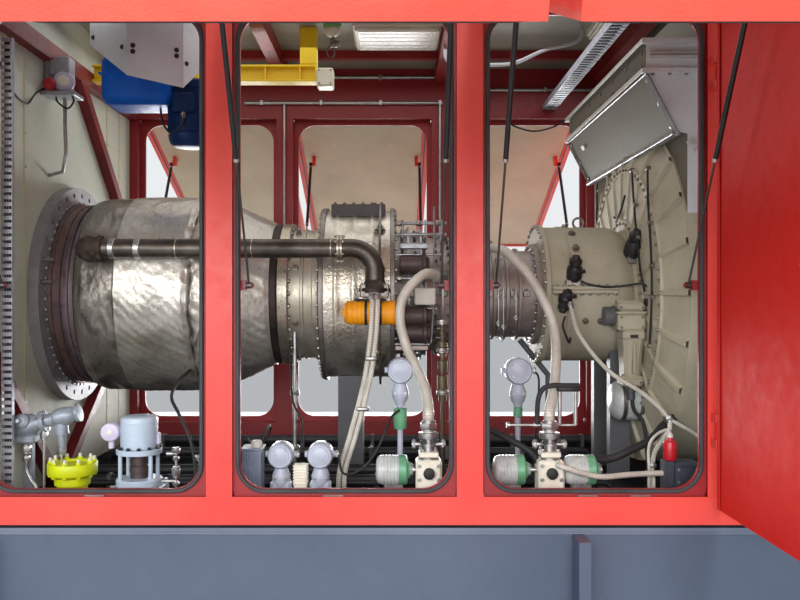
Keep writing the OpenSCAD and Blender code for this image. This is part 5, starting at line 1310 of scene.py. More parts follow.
add_piece("roof_pipe_and_detector", [(roof_pipe, hood_white), (detector_cap, lamp_green),
        (detector, lamp_cream), ([eye_arm, eye], nut_steel), (eye_lead, black_rubber)])
housing, glass, screws = [], [], []
for x0, x1, y0, y1 in ((-0.572, -0.044, 0.024, 0.456), (0.845, 1.005, -0.12, 0.24)):
    housing += [slab((x0, y0, 3.205), (x1, y1, 3.25), 0.006), slab((x0 + 0.012, y0 + 0.012, 3.186),
            (x1 - 0.012, y1 - 0.012, 3.207), 0.004)]
    glass.append(slab((x0 + 0.03, y0 + 0.03, 3.18), (x1 - 0.03, y1 - 0.03, 3.19), 0.003))
    housing += [rod((x0 + 0.04, y, 3.182), (x1 - 0.04, y, 3.182), 0.004, 6)
        for y in np.linspace(y0 + 0.07, y1 - 0.07, 5)]
    screws.append(bolts([(x, y, 3.186) for x in (x0 + 0.02, x1 - 0.02) for y in (y0 + 0.02, y1 - 0.02)],
            (0, 0, -1), 0.01, 0.005, 0.001))
add_piece("lamp_housings", [(housing, lamp_cream), (glass, lamp_opal), (screws, nut_steel)],
    replaces=["roof_lamps"])
tray_zinc = coat("tray_zinc", (176, 180, 188), (152, 156, 166), 0.06, 0.4, 0.4)
tray = [slab((x, -1.084, 2.95), (x + 0.003, 1.084, 2.99), 0.001) for x in (0.726, 0.813)]
tray += [slab((0.729, y, 2.952), (0.813, y + 0.022, 2.955), 0.001) for y in np.linspace(-1.08, 1.058, 45)]
tray += [slab((0.741, y, 2.952), (0.749, y + 0.05, 2.9545), 0.0005) for y in np.linspace(-1.084, 1.034, 2)]
tray += [slab((x, -1.06, 0.618), (x + 0.003, -1.035, 2.8), 0.001) for x in (-2.12, -2.073)]
tray += [slab((-2.118, -1.06, z), (-2.072, -1.057, z + 0.018), 0.0005) for z in np.linspace(0.63, 2.78, 70)]
wires = [hose_run([(-2.105 + 0.011 * k, -1.048, 0.62), (-2.104 + 0.011 * k, -1.05, 1.2),
        (-2.107 + 0.011 * k, -1.047, 1.9), (-2.105 + 0.011 * k, -1.049, 2.5),
        (-2.108 + 0.008 * k, -1.045, 2.8)], 0.0045, 8) for k in range(3)]
wires += [hose_run([(0.745 + 0.014 * k, -1.084, 2.962), (0.751 + 0.014 * k, -0.5, 2.961),
        (0.743 + 0.014 * k, 0.1, 2.962), (0.749 + 0.014 * k, 0.6, 2.961), (0.745 + 0.014 * k, 1.084, 2.962)],
        0.006, 8) for k in range(4)]
add_piece("perforated_trays", [(tray, tray_zinc), (wires, black_rubber)],
    replaces=["cable_trays"])

dial_lilac = coat("dial_lilac", (206, 200, 222), (192, 186, 210), 0.05, 0.35, dust=0.05)
siren_red = coat("siren_red", (186, 36, 44), (160, 28, 36), 0.05, 0.35, dust=0.05)
box = [slab((-2.199, -0.44, 2.69), (-2.02, -0.3, 2.712), 0.003), slab((-2.195, -0.4, 2.712),
        (-2.1, -0.31, 2.9), 0.004), slab((-2.16, -0.42, 2.8), (-2.055, -0.33, 2.9), 0.006)]
dial = turned([(0, 0.05), (0.012, 0.055), (0.03, 0.055), (0.038, 0.046), (0.04, 0)], (-2.088, -0.385, 2.768),
    (0.12, -0.99, 0), 40)
dial_rim = turned([(0, 0.03), (0.008, 0.03), (0.008, 0)], (-2.083, -0.425, 2.768), (0.12, -0.99, 0), 32)
siren = turned([(0, 0.02), (0.006, 0.032), (0.03, 0.034), (0.05, 0.026), (0.055, 0)], (-2.15, -0.42, 2.745),
    front, 24)
drop_pipe = tube([(-2.1, -0.36, 2.695), (-2.1, -0.36, 2.55), (-2.09, -0.37, 2.4), (-2.12, -0.34, 2.3),
        (-2.199, -0.33, 2.28)], 0.01, 12)
wall_leads = [hose_run([(-2.05, -0.4, 2.7), (-2.03, -0.42, 2.66), (-2.06, -0.43, 2.62), (-2.12, -0.41, 2.66),
        (-2.14, -0.38, 2.7)], 0.005, 8, 8), hose_run([(-2.17, -0.42, 2.74), (-2.2, -0.5, 2.68),
        (-2.193, -0.62, 2.6), (-2.19, -0.78, 2.62), (-2.17, -0.95, 2.7), (-2.1, -1.04, 2.72)], 0.005, 8, 8)]
add_piece("wall_instruments", [(box, tray_zinc), (dial, dial_lilac), (dial_rim, box_white),
        (siren, siren_red), (drop_pipe, bright_steel), (wall_leads, black_rubber)])

# Lubrication pump and drain
# Pale blue motor can on a flange, four legs round a brown coupling and a base, with a round
# junction box; a yellow drain flange with bright stud ends; cast valves on a sloping pipe.
pump_paint = coat("pump_blue_grey_paint", (190, 206, 222), (172, 188, 206), 0.15, 0.35)
flange_yellow = coat("flange_yellow_paint", (218, 230, 22), (200, 212, 16), 0.1, 0.4)
manifold_steel = coat("manifold_steel", (164, 172, 184), (130, 138, 150), 0.06, 0.4, 0.3)
deck_z, aux_y = 0.618, -0.948
pump_x = -1.5246
can = [(0, 0), (0, 0.078), (0.004, 0.083), (0.012, 0.085)]
for z in (0.03, 0.118):
    can += [(z, 0.085), (z + 0.001, 0.0835), (z + 0.003, 0.0835), (z + 0.004, 0.085)]
can += [(0.138, 0.085), (0.147, 0.081), (0.152, 0.072), (0.153, 0.03), (0.15, 0)]
pump = [turned(can, (pump_x, aux_y, 0.911), up, 64), turned([(0, 0.1), (0.002, 0.104), (0.023, 0.105),
        (0.026, 0.103), (0.026, 0.05)], (pump_x, aux_y, 0.887), up, 64), turned([(0, 0.098), (0.004, 0.104),
        (0.03, 0.105), (0.036, 0.1), (0.036, 0.05)], (pump_x, aux_y, 0.738), up, 64),
    slab((pump_x - 0.115, aux_y - 0.1, deck_z), (pump_x + 0.115, aux_y + 0.1, 0.74), 0.006)]
legs = [rod((pump_x + sx * 0.07, aux_y + sy * 0.06, 0.77), (pump_x + sx * 0.07, aux_y + sy * 0.06, 0.89),
        0.0095, 20) for sx in (-1, 1) for sy in (-1, 1)]
pump_nuts = bolts([(pump_x + 0.094 * cos(a), aux_y + 0.094 * sin(a), 0.913)
        for a in np.radians(np.arange(15, 360, 30))], up, 0.015, 0.012)
base_nuts = bolts([(pump_x + sx * 0.1, aux_y + sy * 0.085, 0.74) for sx in (-1, 1) for sy in (-1, 1)], up,
    0.018, 0.014)
coupling = turned([(0, 0.04), (0.03, 0.04), (0.032, 0.043), (0.06, 0.043), (0.062, 0.036), (0.12, 0.036)],
    (pump_x, aux_y, 0.77), up, 40)
junction = [turned([(0, 0), (0, 0.03), (0.004, 0.04), (0.012, 0.044), (0.05, 0.044), (0.056, 0.036),
        (0.06, 0)], (-1.648, -1.003, 0.992), (0, 1, 0), 40), rod((-1.648, -0.965, 0.992),
        (-1.59, -0.955, 0.992), 0.024, 24), rod((-1.648, -0.97, 0.95), (-1.648, -0.97, 0.915), 0.013, 16),
    slab((-1.44, -0.965, 0.93), (-1.424, -0.935, 0.985), 0.005)]
junction_dot = turned([(0, 0), (0.002, 0.012), (0.006, 0.012), (0.006, 0)], (-1.648, -1.006, 0.992),
    (0, 1, 0), 24)
pump_stack = [union_nut((-1.352, aux_y, z), up, r, h) for z, r, h in ((0.9, 0.013, 0.03), (0.862, 0.01, 0.02),
        (0.8, 0.013, 0.05), (0.745, 0.011, 0.02))]
pump_stack += [rod((-1.352, aux_y, deck_z), (-1.352, aux_y, 0.915), 0.0065, 16), rod((-1.425, aux_y, 0.757),
        (-1.352, aux_y, 0.757), 0.007, 16), rod((-1.352, aux_y, 0.885), (-1.395, aux_y, 0.885), 0.01, 16),
    rod((-1.24, aux_y, deck_z), (-1.24, aux_y, 0.88), 0.008, 16), union_nut((-1.24, aux_y, 0.865), up, 0.013,
        0.025), rod((-1.24, aux_y, 0.874), (-1.275, aux_y, 0.874), 0.007, 12)]
add_piece("pump", [(pump + legs, pump_paint), (pump_nuts, black_cast), (junction, dial_lilac),
        (coupling, drum_brown), (junction_dot, box_white), (pump_stack + [base_nuts], bright_steel)],
    replaces=["lube_pump"])

drain_x = -1.837
drain = [(0, 0.0675), (0.124, 0.0675), (0.126, 0.08), (0.16, 0.082), (0.164, 0.092), (0.17, 0.104),
    (0.174, 0.11), (0.178, 0.1125), (0.224, 0.1125), (0.228, 0.11), (0.229, 0.074), (0.222, 0.068),
    (0.222, 0)]
drain_ring = [(drain_x + 0.0965 * cos(a), aux_y + 0.0965 * sin(a))
    for a in np.radians(np.arange(18, 360, 36))]
nuts = bolts([(x, y, 0.847) for x, y in drain_ring], up, 0.02, 0.01)
low_nuts = bolts([(x, y, 0.793) for x, y in drain_ring], (0, 0, -1), 0.02, 0.012)
stud_ends = [turned([(0, 0.0075), (0.024, 0.0075), (0.026, 0.006), (0.026, 0)], (x, y, 0.846), up, 14) for x,
    y in drain_ring]
gasket = turned([(0, 0.108), (0.004, 0.108)], (drain_x, aux_y, 0.8155), up, 60)
add_piece("drain", [(turned(drain, (drain_x, aux_y, deck_z), up, 72), flange_yellow), ([nuts, low_nuts],
        flange_yellow), (stud_ends, box_white), (gasket, black_rubber)],
    replaces=["drain_flange"])

pipe_a, pipe_b = np.array((-2.125, -0.93, 0.998)), np.array((-1.8, -0.93, 1.078))
pipe_way = (pipe_b - pipe_a) / np.linalg.norm(pipe_b - pipe_a)
cast = [turned([(0, 0), (0, 0.036), (0.006, 0.042), (0.03, 0.044), (0.05, 0.052), (0.075, 0.054), (0.1, 0.05),
        (0.115, 0.038), (0.135, 0.034), (0.137, 0.046), (0.149, 0.046), (0.15, 0.05), (0.162, 0.05),
        (0.163, 0.032), (0.2, 0.03), (0.21, 0.04), (0.25, 0.044), (0.29, 0.038), (0.3, 0.03), (0.31, 0.042),
        (0.325, 0.042), (0.327, 0)], pipe_a, pipe_way, 36), turned([(0, 0), (0, 0.022), (0.01, 0.034),
        (0.05, 0.036), (0.062, 0.028), (0.064, 0)], (-2.062, -1, 1.045), (0.05, 0.98, -0.15), 28),
    slab((-2.115, -0.965, 0.932), (-2.01, -0.895, 0.976), 0.01), rod((-2.062, -0.93, 0.965),
        (-2.062, -0.93, 1.02), 0.02, 24), turned([(0, 0.03), (0.06, 0.034), (0.062, 0.02), (0.14, 0.018)],
        (-1.898, -0.93, 1.035), (0, 0.1, -1), 28), slab((-2.088, -0.9, deck_z), (-2.048, -0.86, 1.02), 0.003)]
small = [union_nut((-2.062, -0.93, 0.905), up, 0.016, 0.045), union_nut((-2.062, -0.93, 0.862), up, 0.012,
        0.03), rod((-2.085, -0.93, 0.905), (-2.035, -0.93, 0.905), 0.005, 10), rod((-1.978, -0.93, deck_z),
        (-1.978, -0.93, 1.01), 0.006, 12), union_nut((-1.978, -0.93, 0.97), up, 0.012, 0.04),
    union_nut((-1.902, -0.915, 0.895), up, 0.014, 0.05), rod((-1.902, -0.915, deck_z), (-1.902, -0.915, 0.9),
        0.006, 12), rod((-2.062, -1.03, 1.05), (-2.062, -1, 1.045), 0.008, 12)]
cast_bolts = []
for t in (0.143, 0.156):
    way, u, v = square_to(pipe_way)
    for a in np.arange(6) * pi / 3:
        place = pipe_a + pipe_way * t + 0.041 * (cos(a) * u + sin(a) * v)
        cast_bolts.append(bolts([place], pipe_way if t > 0.15 else -pipe_way, 0.01, 0.012, 0.001))
down_pipe = hose_run([(-2.062, -0.93, 0.85), (-2.06, -0.93, 0.8), (-2.035, -0.935, 0.755),
        (-2.012, -0.94, 0.72), (-2.005, -0.94, deck_z)], 0.0065, 12)
add_piece("cast_valves", [(cast, manifold_steel), (small, bright_steel), (cast_bolts, nut_steel),
        (down_pipe, bright_steel)], replaces=["valve_manifold"])

# Deck pipes
# Dark painted pipes along the deck, each clipped down with saddles and turned down through
# the deck at both ends.
pipe_black = coat("deck_pipe_black", (40, 42, 48), (28, 30, 36), 0.1, 0.5)
low_pipes, saddles, saddle_nuts = [], [], []
for y, r, x0, x1 in ((-0.44, 0.024, -2.05, 0.72), (-0.487, 0.014, -1.95, 0.8), (-0.225, 0.03, -2, 0.6),
        (0.36, 0.026, -2.1, 0.75), (0.44, 0.018, -2.1, 0.9), (0.8, 0.03, -2.1, 1.6), (0.88, 0.02, -2.1, 1.5)):
    z, turn = deck_z + 0.018 + r, 0.018 + r
    curve = [(turn * (1 - cos(a)), -turn * (1 - sin(a))) for a in np.linspace(0, pi / 2, 7)]
    low_pipes.append(tube([(x0 + a, y, z + b) for a, b in curve] + [(x1 - a, y, z + b) for a,
            b in curve[::-1]], r, 20))
    for x in np.arange(x0 + 0.22, x1 - 0.1, 0.47):
        saddles.append(slab((x - 0.012, y - r - 0.004, deck_z), (x + 0.012, y + r + 0.004, z + r + 0.004),
                0.002))
        saddle_nuts.append(bolts([(x, y, z + r + 0.004)], up, 0.01, 0.006, 0.001))
add_piece("deck_pipes", [(low_pipes, pipe_black), (saddles, support_grey), (saddle_nuts, nut_steel)])

# Transmitters, valves and filters
# Pear-shaped instrument heads on slim stands, cream fuel valves with stacked fittings, and
# ribbed filter bowls with green caps, in their makers' paints.
instrument_grey = coat("instrument_grey_paint", (190, 198, 214), (172, 180, 198), 0.1, 0.33, dust=0.1)
fin_blue = coat("finned_blue_grey", (150, 162, 184), (126, 138, 162), 0.1, 0.4)
valve_cream = coat("valve_cream_paint", (246, 242, 228), (230, 224, 206), 0.08, 0.4)
valve_bronze = coat("valve_bronze", (112, 104, 78), (86, 78, 58), 0.08, 0.4, 0.5)
filter_green = coat("filter_green_paint", (112, 176, 136), (88, 148, 112), 0.1, 0.35)
filter_glass = coat("filter_grey_bowl", (206, 210, 208), (178, 184, 184), 0.06, 0.22)
canister_red = coat("canister_red", (206, 30, 44), (180, 22, 36), 0.1, 0.3, dust=0.05)
box_dark = coat("box_dark_grey", (66, 72, 84), (50, 56, 66), 0.1, 0.4)


def transmitter(x, y, z, r, foot):
    """Round instrument head facing the near side at a place, over a body that narrows to a stand."""
    face = [(0, 0), (0, r * 0.5), (0.002, r * 0.56), (0.002, r * 0.7), (0.006, r * 0.74), (0.006, r * 0.86),
        (0.014, r * 0.96), (0.024, r), (0.052, r), (0.054, r * 0.94), (0.058, r * 0.94), (0.06, r), (0.1, r),
        (0.114, r * 0.94), (0.122, r * 0.8), (0.126, r * 0.5), (0.126, 0)]
    body = [(0, 0.021), (0.016, 0.024), (0.03, 0.034), (0.052, 0.041), (0.076, 0.043), (0.096, 0.036),
        (0.112, 0.03), (0.13, 0.03)]
    low = z - r - 0.115
    shapes = [turned(face, (x, y - 0.063, z), (0, 1, 0), 48), turned(body, (x, y, low), up, 36)]
    shapes += [rod((x - r - 0.014, y + 0.01, z), (x + r + 0.014, y + 0.01, z), 0.015, 20), rod((x, y, foot),
            (x, y, low + 0.004), 0.014, 20)]
    metal = [union_nut((x + r + 0.016, y + 0.01, z), right, 0.012, 0.018),
        bolts([(x + 0.025, y - 0.038, low + 0.068), (x - 0.025, y - 0.038, low + 0.068)], front, 0.01, 0.008)]
    metal += [bolts([(x + r * 0.62 * cos(a), y - 0.061, z + r * 0.62 * sin(a))
            for a in np.radians((45, 135, 225, 315))], front, 0.006, 0.004, 0.0005)]
    return shapes, metal


heads, fittings = [], []
for place in ((-0.861, aux_y + 0.01, 0.88, 0.06, deck_z), (-0.6765, aux_y + 0.01, 0.88, 0.06, deck_z),
        (-0.3, -0.7, 1.255, 0.064, deck_z), (0.3, -0.6, 1.245, 0.068, deck_z)):
    shapes, metal = transmitter(*place)
    heads += shapes
    fittings += metal
heads += [slab((x - 0.05, aux_y - 0.02, 0.7), (x + 0.05, aux_y + 0.045, 0.762), 0.014)
    for x in (-0.861, -0.6765)]
between = [slab((-0.8, aux_y - 0.02, deck_z), (-0.738, aux_y + 0.04, 0.835), 0.005)]
between += [slab((-0.803, aux_y - 0.024, z), (-0.735, aux_y + 0.044, z + 0.006), 0.002)
    for z in np.arange(0.745, 0.83, 0.0135)]
finned = [slab((-1.04, aux_y - 0.04, deck_z), (-0.95, aux_y + 0.08, 0.905), 0.006)]
finned += [slab((x, aux_y - 0.048, 0.7), (x + 0.004, aux_y - 0.036, 0.895), 0.001)
    for x in np.arange(-1.036, -0.955, 0.0105)]
finned += [slab((-1.046, aux_y - 0.046, 0.905), (-0.944, aux_y + 0.086, 0.916), 0.003)]
white_cap = turned([(0, 0.024), (0.008, 0.026), (0.026, 0.026), (0.032, 0.02), (0.033, 0)],
    (-0.975, aux_y, 0.916), up, 28)
stand_body = [turned([(0, 0.03), (0.006, 0.033), (0.1, 0.033), (0.106, 0.024)], (-0.3, -0.7, 0.965), up, 28),
    turned([(0, 0.02), (0.004, 0.024), (0.05, 0.024), (0.054, 0.016)], (0.3, -0.6, 1.01), up, 28)]
clamps = [slab((x - 0.045, y - 0.045, deck_z), (x + 0.045, y + 0.045, deck_z + 0.01), 0.003) for x,
    y in ((-0.3, -0.7), (0.3, -0.6), (-0.09, -0.7), (0.565, 0))]
loops = [hose_run([(-1.1, -0.6, deck_z), (-1.1, -0.6, 0.9), (-1.034, -0.62, 0.86), (-0.962, -0.64, 0.93),
        (-0.95, -0.7, 0.98), (-0.957, -0.88, 0.96), (-0.957, -0.92, 0.91)], 0.0055, 10, 8),
    hose_run([(-0.775, aux_y + 0.01, 0.882), (-0.765, aux_y + 0.02, 0.95), (-0.78, -0.8, 1.02),
        (-0.86, -0.5, 1.1), (-0.9, -0.3, 1.4)], 0.005, 10, 8), hose_run([(-0.592, aux_y + 0.01, 0.882),
        (-0.575, -0.945, 0.8), (-0.53, -0.92, 0.785), (-0.464, -0.9, 0.823), (-0.408, -0.9, 0.903),
        (-0.37, -0.88, 0.989), (-0.34, -0.8, 1.04), (-0.306, -0.735, 1.06)], 0.006, 10, 8),
    hose_run([(0.384, -0.59, 1.245), (0.41, -0.58, 1.2), (0.41, -0.55, 1.05), (0.4, -0.52, 0.85),
        (0.4, -0.52, deck_z)], 0.0055, 10, 8)]
riser_pipes = [rod((-0.87, -0.3, deck_z), (-0.87, -0.3, 1.43), 0.012, 16), union_nut((-0.87, -0.3, 1.1), up,
        0.019, 0.03), union_nut((-0.87, -0.3, 0.8), up, 0.019, 0.03)]
stack = [rod((-0.09, -0.7, deck_z), (-0.09, -0.7, 1.5), 0.01, 14), rod((-0.09, -0.7, 1.49),
        (-0.09, -0.36, 1.49), 0.008, 12)]
stack += [turned([(0, 0.01), (0.002, r), (h - 0.002, r), (h, 0.01)], (-0.09, -0.7, z), up, 24) for z, r,
    h in ((1.1, 0.02, 0.04), (1.16, 0.026, 0.07), (1.245, 0.024, 0.06), (1.32, 0.018, 0.03),
        (1.37, 0.024, 0.03), (1.43, 0.016, 0.02))]
stack_pale = [union_nut((-0.09, -0.7, z), up, 0.022, 0.022) for z in (1.145, 1.355, 1.495)]
# Thin sense lines: each leaves the compressor above, drops in front of it and returns below.
for x, low in ((0.235, 1.42), (0.262, 1.4), (0.33, 1.45)):
    stack_pale.append(tube([(x, -0.175, shaft_z + 0.185), (x, -0.27, 1.84), (x, -0.325, 1.76),
            (x, -0.34, 1.66), (x, -0.34, low + 0.05), (x, -0.325, low), (x, -0.27, low - 0.02),
            (x, -0.17, shaft_z - 0.185)], 0.0045, 8))
    stack_pale += [union_nut((x, -0.34, z), up, 0.01, 0.024) for z in (low + 0.06, 1.62)]
stack_pale += [rod((0.203, -0.905, 1.013), (0.528, -0.905, 1.013), 0.006, 12), rod((0.396, -0.905, 1.013),
        (0.396, -0.945, 1.013), 0.009, 12), tube([(0.453, -0.905, 1.013), (0.453, -0.905, 1.1),
        (0.453, -0.905, 1.177)], 0.009, 12), tube([(0.528, -0.905, 1.013), (0.528, -0.905, 1.1),
        (0.528, -0.905, 1.177)], 0.009, 12), rod((0.2, -0.905, 1.013), (0.214, -0.905, 1.013), 0.015, 16),
    rod((0.33, -0.905, 1.013), (0.352, -0.905, 1.013), 0.011, 16)]
elbow_run = hose_run([(0.345, -0.905, 1.015), (0.35, -0.905, 1.13), (0.375, -0.905, 1.185),
        (0.42, -0.905, 1.2), (0.48, -0.905, 1.2), (0.545, -0.905, 1.2)], 0.012, 12, 8)
elbow_block = slab((0.44, -0.922, 1.172), (0.545, -0.888, 1.196), 0.004)
leg = [rod((0.4, 0, 1.375), (0.565, 0, 1.172), 0.016, 16), rod((0.565, 0, deck_z), (0.565, 0, 1.18), 0.016,
        16)]
add_piece("lines_and_fittings", [(stack, valve_bronze), (stack_pale, bright_steel), ([elbow_run, elbow_block],
        black_rubber), (leg, support_grey)], crease=50)
add_piece("instruments", [(heads, instrument_grey), (fittings + riser_pipes, bright_steel),
        (between, valve_cream), (finned, fin_blue), (white_cap, box_white), (stand_body, filter_green),
        (clamps, nut_steel), (loops, black_rubber)], replaces=["transmitters"])

valves, valve_steel, valve_black, bowls, bowl_caps = [], [], [], [], []
for x in (-0.1705, 0.396):
    valves += [slab((x - 0.06, aux_y - 0.06, deck_z), (x + 0.06, aux_y + 0.06, 0.862), 0.01),
        slab((x - 0.064, aux_y - 0.064, 0.7), (x + 0.064, aux_y + 0.064, 0.712), 0.003),
        slab((x - 0.046, aux_y - 0.046, 0.874), (x + 0.046, aux_y + 0.046, 0.898), 0.004)]
    valve_steel += [turned([(0, 0.044), (0.012, 0.044), (0.014, 0.026), (0.06, 0.024), (0.062, 0.034),
            (0.076, 0.034), (0.078, 0.024), (0.096, 0.024), (0.098, 0.046), (0.11, 0.048), (0.124, 0.048),
            (0.126, 0.03)], (x, aux_y, 0.86), up, 36), bolts([(x + sx * 0.044, aux_y - 0.06, z)
            for sx in (-1, 1) for z in (0.775, 0.838)], front),
        bolts([(x + sx * 0.036, aux_y + sy * 0.036, 0.898) for sx in (-1, 1) for sy in (-1, 1)], up, 0.012,
            0.012), rod((x - 0.075, aux_y, 0.93), (x + 0.075, aux_y, 0.93), 0.01, 16),
        union_nut((x - 0.068, aux_y, 0.93), right, 0.014, 0.02), union_nut((x + 0.068, aux_y, 0.93), right,
            0.014, 0.02)]
    valve_black += [turned([(0, 0.02), (0.004, 0.026), (0.02, 0.026), (0.024, 0.018)],
            (x, aux_y - 0.06, 0.805), front, 28), rod((x - 0.03, aux_y - 0.052, 0.946),
            (x - 0.03, aux_y - 0.028, 0.946), 0.012, 16), rod((x + 0.035, aux_y - 0.052, 0.952),
            (x + 0.035, aux_y - 0.025, 0.952), 0.01, 16)]
bowl = [(0, 0), (0, 0.045), (0.008, 0.06), (0.018, 0.066)]
for k in range(5):
    bowl += [(0.026 + 0.016 * k, 0.067), (0.028 + 0.016 * k, 0.07), (0.036 + 0.016 * k, 0.07),
        (0.038 + 0.016 * k, 0.067)]
bowl += [(0.108, 0.066), (0.108, 0.04)]
bowl_cap = [(0.106, 0.05), (0.106, 0.069), (0.11, 0.07), (0.14, 0.07), (0.146, 0.062), (0.15, 0.04),
    (0.16, 0.036), (0.16, 0)]
for x in (-0.33, 0.22, 0.55):
    start = (x - 0.086, aux_y + 0.01, 0.808)
    bowls.append(turned(bowl, start, right, 48))
    bowl_caps.append(turned(bowl_cap, start, right, 48))
    valve_steel += [slab((x - 0.05, aux_y - 0.02, deck_z), (x + 0.04, aux_y + 0.04, 0.745), 0.004),
        union_nut((x + 0.078, aux_y + 0.01, 0.808), right, 0.02, 0.024)]
valve_steel += [rod((-0.25, aux_y + 0.01, 0.808), (-0.225, aux_y + 0.01, 0.808), 0.012, 16),
    rod((0.295, aux_y + 0.01, 0.808), (0.34, aux_y + 0.01, 0.808), 0.012, 16)]
canister = turned([(0, 0), (0, 0.022), (0.006, 0.029), (0.014, 0.031), (0.08, 0.031), (0.09, 0.027),
        (0.096, 0.016), (0.112, 0.012), (0.112, 0)], (0.9603, aux_y, 0.853), up, 36)
canister_cap = turned([(0, 0.014), (0.014, 0.014), (0.016, 0.008), (0.024, 0.008), (0.024, 0)],
    (0.9603, aux_y, 0.962), up, 20)
box_parts = [slab((0.9705, -0.998, deck_z), (1.0865, -0.888, 0.853), 0.006), slab((0.9665, -1.002, 0.832),
        (1.0905, -0.884, 0.842), 0.003), slab((0.925, -0.985, deck_z), (0.9725, -0.91, 0.855), 0.005)]
box_bolts = bolts([(x, -0.998, z) for x in (0.985, 1.072) for z in (0.76, 0.82)], front, 0.01, 0.006)
add_piece("valves_and_filters", [(valves, valve_cream), (valve_steel + [box_bolts], bright_steel),
        (valve_black, black_rubber), (bowls, filter_glass), (bowl_caps, filter_green),
        (canister, canister_red), (canister_cap, box_white), (box_parts, box_dark)],
    replaces=["fuel_valves"])

# Hoses
# Fuel and bleed hoses under braided steel, two right-handed and left-handed sets of strands
# crossing along each hose, with hexagonal unions; black rubber hoses and leads between them.
braid, tree, shader = new_finish("hose_braid")
lay = node(tree, "SeparateXYZ", {0: node(tree, "UVMap", uv_map="lay").outputs[0]}).outputs
strands, strand_pitch = 12, 0.016
waves = []
for hand in (1, -1):
    round_way = calculated(tree, "MULTIPLY", lay[0], strands * 2 * pi)
    both_ways = calculated(tree, "MULTIPLY_ADD", lay[1], hand * 2 * pi / strand_pitch, round_way)
    waves.append(calculated(tree, "SINE", both_ways))
weave = remap(tree, calculated(tree, "MULTIPLY", *waves), -0.7, 0.7, 0, 1)
worn = remap(tree, patches(tree, 0.12, 4), 0.4, 0.7, 0, 0.35)
base = blend_colours(tree, weave, linear(190, 184, 172), linear(250, 248, 238))
base = blend_colours(tree, worn, base, linear(140, 132, 118))
feed(tree, shader, {"Base Color": base, "Metallic": 0.2, "Roughness": 0.38})
rough_surface(tree, weave, 0.0012)

valve_top = 0.988
s = shaft_z
fuel_a = [(-0.1, -0.48, s + 0.095), (-0.18, -0.59, s + 0.095), (-0.28, -0.64, s - 0.01), (-0.3, -0.65, 1.5),
    (-0.26, -0.66, 1.35), (-0.185, -0.83, 1.19), (-0.1705, aux_y, valve_top + 0.1),
    (-0.1705, aux_y, valve_top + 0.05), (-0.1705, aux_y, valve_top - 0.01)]
fuel_b = [(0.174, -0.33, s + 0.25), (0.24, -0.52, s + 0.22), (0.35, -0.6, s + 0.1), (0.45, -0.61, 1.56),
    (0.485, -0.64, 1.4), (0.445, -0.82, 1.2), (0.396, aux_y, valve_top + 0.1),
    (0.396, aux_y, valve_top + 0.05), (0.396, aux_y, valve_top - 0.01)]
gear_hose = [(0.6, -0.43, s - 0.05), (0.64, -0.49, 1.42), (0.765, -0.58, 1.245), (0.91, -0.68, 1.14),
    (0.99, -0.76, 1.055), (1.012, -0.79, 0.99), (0.98, -0.79, 0.93), (0.938, -0.79, 0.86),
    (0.925, -0.79, 0.76), (0.925, -0.79, deck_z)]
braided, unions = [], []
for dx in (0, 0.028):
    twin = [(-0.442 + dx, -0.61, s - 0.006), (-0.442 + dx, -0.642, s - 0.08), (-0.452 + dx, -0.65, 1.4),
        (-0.485 + dx, -0.665, 1.18), (-0.55 + dx, -0.69, 0.93), (-0.6 + dx, -0.725, 0.76),
        (-0.605 + dx, -0.73, deck_z)]
    braided.append(hose_run(twin, 0.0125, 24, 14))
    unions += [union_nut((-0.442 + dx, -0.618, s - 0.02), (0, -0.3, -1), 0.013, 0.035),
        union_nut((-0.6047 + dx, -0.7295, deck_z + 0.02), up, 0.014, 0.03)]
unions.append(slab((-0.475, -0.678, 1.3), (-0.415, -0.642, 1.322), 0.005))
unions.append(slab((-0.52, -0.695, 1.05), (-0.455, -0.66, 1.07), 0.005))
for points in (fuel_a, fuel_b):
    braided.append(hose_run(points, 0.0245, 32, 14))
    start, way = np.array(points[0]), np.array(points[1]) - np.array(points[0])
    unions += [union_nut(start, way, 0.027, 0.05), union_nut((points[-1][0], aux_y, valve_top + 0.028), up,
            0.027, 0.045), turned([(0, 0.0255), (0.05, 0.0255), (0.052, 0.024)], (points[-1][0], aux_y,
            valve_top + 0.045), up, 28)]
unions += [rod((-0.06, -0.43, s + 0.095), (-0.105, -0.488, s + 0.095), 0.02, 24),
    rod((0.16, -0.235, s + 0.21), (0.178, -0.345, s + 0.25), 0.02, 24), rod((-0.06, -0.43, s + 0.095),
        (-0.05, -0.27, s + 0.07), 0.016, 24)]
braided.append(hose_run(gear_hose, 0.011, 20, 14))
braided.append(hose_run([(0.925, -0.79, 0.8), (0.925, -0.8, 0.79), (0.905, -0.88, 0.78), (0.9, -0.9, 0.73),
        (0.9, -0.9, deck_z)], 0.007, 14))
braided.append(hose_run([(0.424, -0.985, 0.843), (0.426, -1.022, 0.843), (0.46, -1.036, 0.834),
        (0.543, -1.034, 0.808), (0.632, -1.03, 0.794), (0.755, -0.985, 0.794), (0.868, -0.955, 0.794),
        (0.93, -0.95, 0.794)], 0.013, 20, 12))
braided.append(hose_run([(0.877, -0.9, deck_z), (0.877, -0.9, 0.8), (0.88, -0.885, 0.9), (0.905, -0.9, 0.96),
        (0.945, -0.94, 0.995), (0.9603, aux_y, 0.975)], 0.007, 14))
braided.append(hose_run([(1, -0.78, 1.03), (1.07, -0.8, 0.99), (1.14, -0.81, 0.944), (1.24, -0.83, 0.84),
        (1.27, -0.835, deck_z)], 0.009, 16))
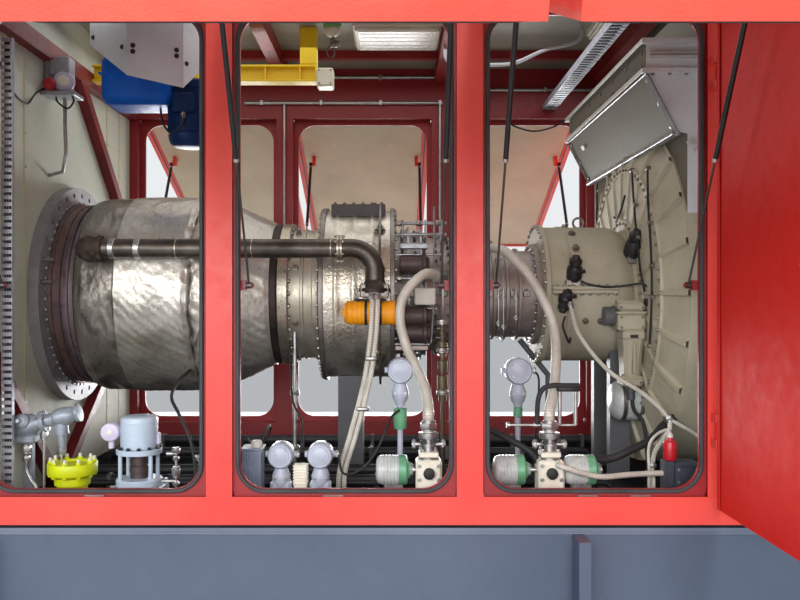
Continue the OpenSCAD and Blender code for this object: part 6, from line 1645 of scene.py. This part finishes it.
unions += [union_nut((0.424, -0.996, 0.843), front, 0.015, 0.018), union_nut((0.604, -0.436, s - 0.062),
        (0.12, -0.2, -0.97), 0.012, 0.03), union_nut((0.925, -0.79, 0.8), up, 0.013, 0.03),
    union_nut((0.925, -0.79, deck_z + 0.02), up, 0.013, 0.03), union_nut((1.003, -0.785, 1.028),
        (0.3, -0.1, -0.6), 0.014, 0.035), rod((0.59, -0.385, s - 0.03), (0.602, -0.434, s - 0.052), 0.01, 16)]
add_piece("braided_hoses", [(braided, braid), (unions, bright_steel)], crease=50,
    replaces=["hoses"])

dark = [hose_run([(-1.42, -0.36, 1.235), (-1.43, -0.6, 1.19), (-1.417, -0.78, 1.131), (-1.35, -0.9, 1.062),
        (-1.287, -0.945, 0.949), (-1.262, -0.95, 0.809), (-1.262, -0.95, deck_z)], 0.008, 12),
    hose_run([(0.02, -0.78, deck_z), (0.03, -0.79, 0.9), (0.111, -0.8, 0.973), (0.201, -0.85, 0.947),
        (0.313, -0.9, 0.885), (0.345, -0.93, 0.845)], 0.016, 16), hose_run([(0.45, -0.92, 0.85),
        (0.52, -0.9, 0.848), (0.693, -0.86, 0.844), (0.804, -0.84, 0.883), (0.917, -0.78, 0.92),
        (1, -0.72, 0.98), (1.062, -0.7, 1.02)], 0.02, 20, 12), hose_run([(0.47, 1.083, 2.885),
        (0.53, 1.07, 2.835), (0.66, 1.066, 2.8), (0.8, 1.07, 2.83), (0.905, 1.083, 2.893)], 0.006),
    hose_run([(0.935, -0.41, 1.08), (0.945, -0.42, 1.02), (0.98, -0.46, 0.96), (0.99, -0.5, 0.8),
        (0.99, -0.5, deck_z)], 0.01, 12)]
oil_body = turned([(0, 0), (0, 0.05), (0.012, 0.085), (0.034, 0.104), (0.06, 0.11), (0.16, 0.11),
        (0.186, 0.104), (0.208, 0.085), (0.22, 0.05), (0.22, 0)], (0.845, -0.3, 1.06), right, 48)
oil_band = [turned([(0, 0.108), (0.002, 0.113), (0.022, 0.113), (0.024, 0.108)], (x, -0.3, 1.06), right, 48)
    for x in (0.895, 0.985)]
add_piece("rubber_hoses", [(dark, black_rubber), (oil_body, filter_glass), (oil_band, nut_steel)],
    crease=50)

# Bounds of everything drawn, the floor left out
low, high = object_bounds()
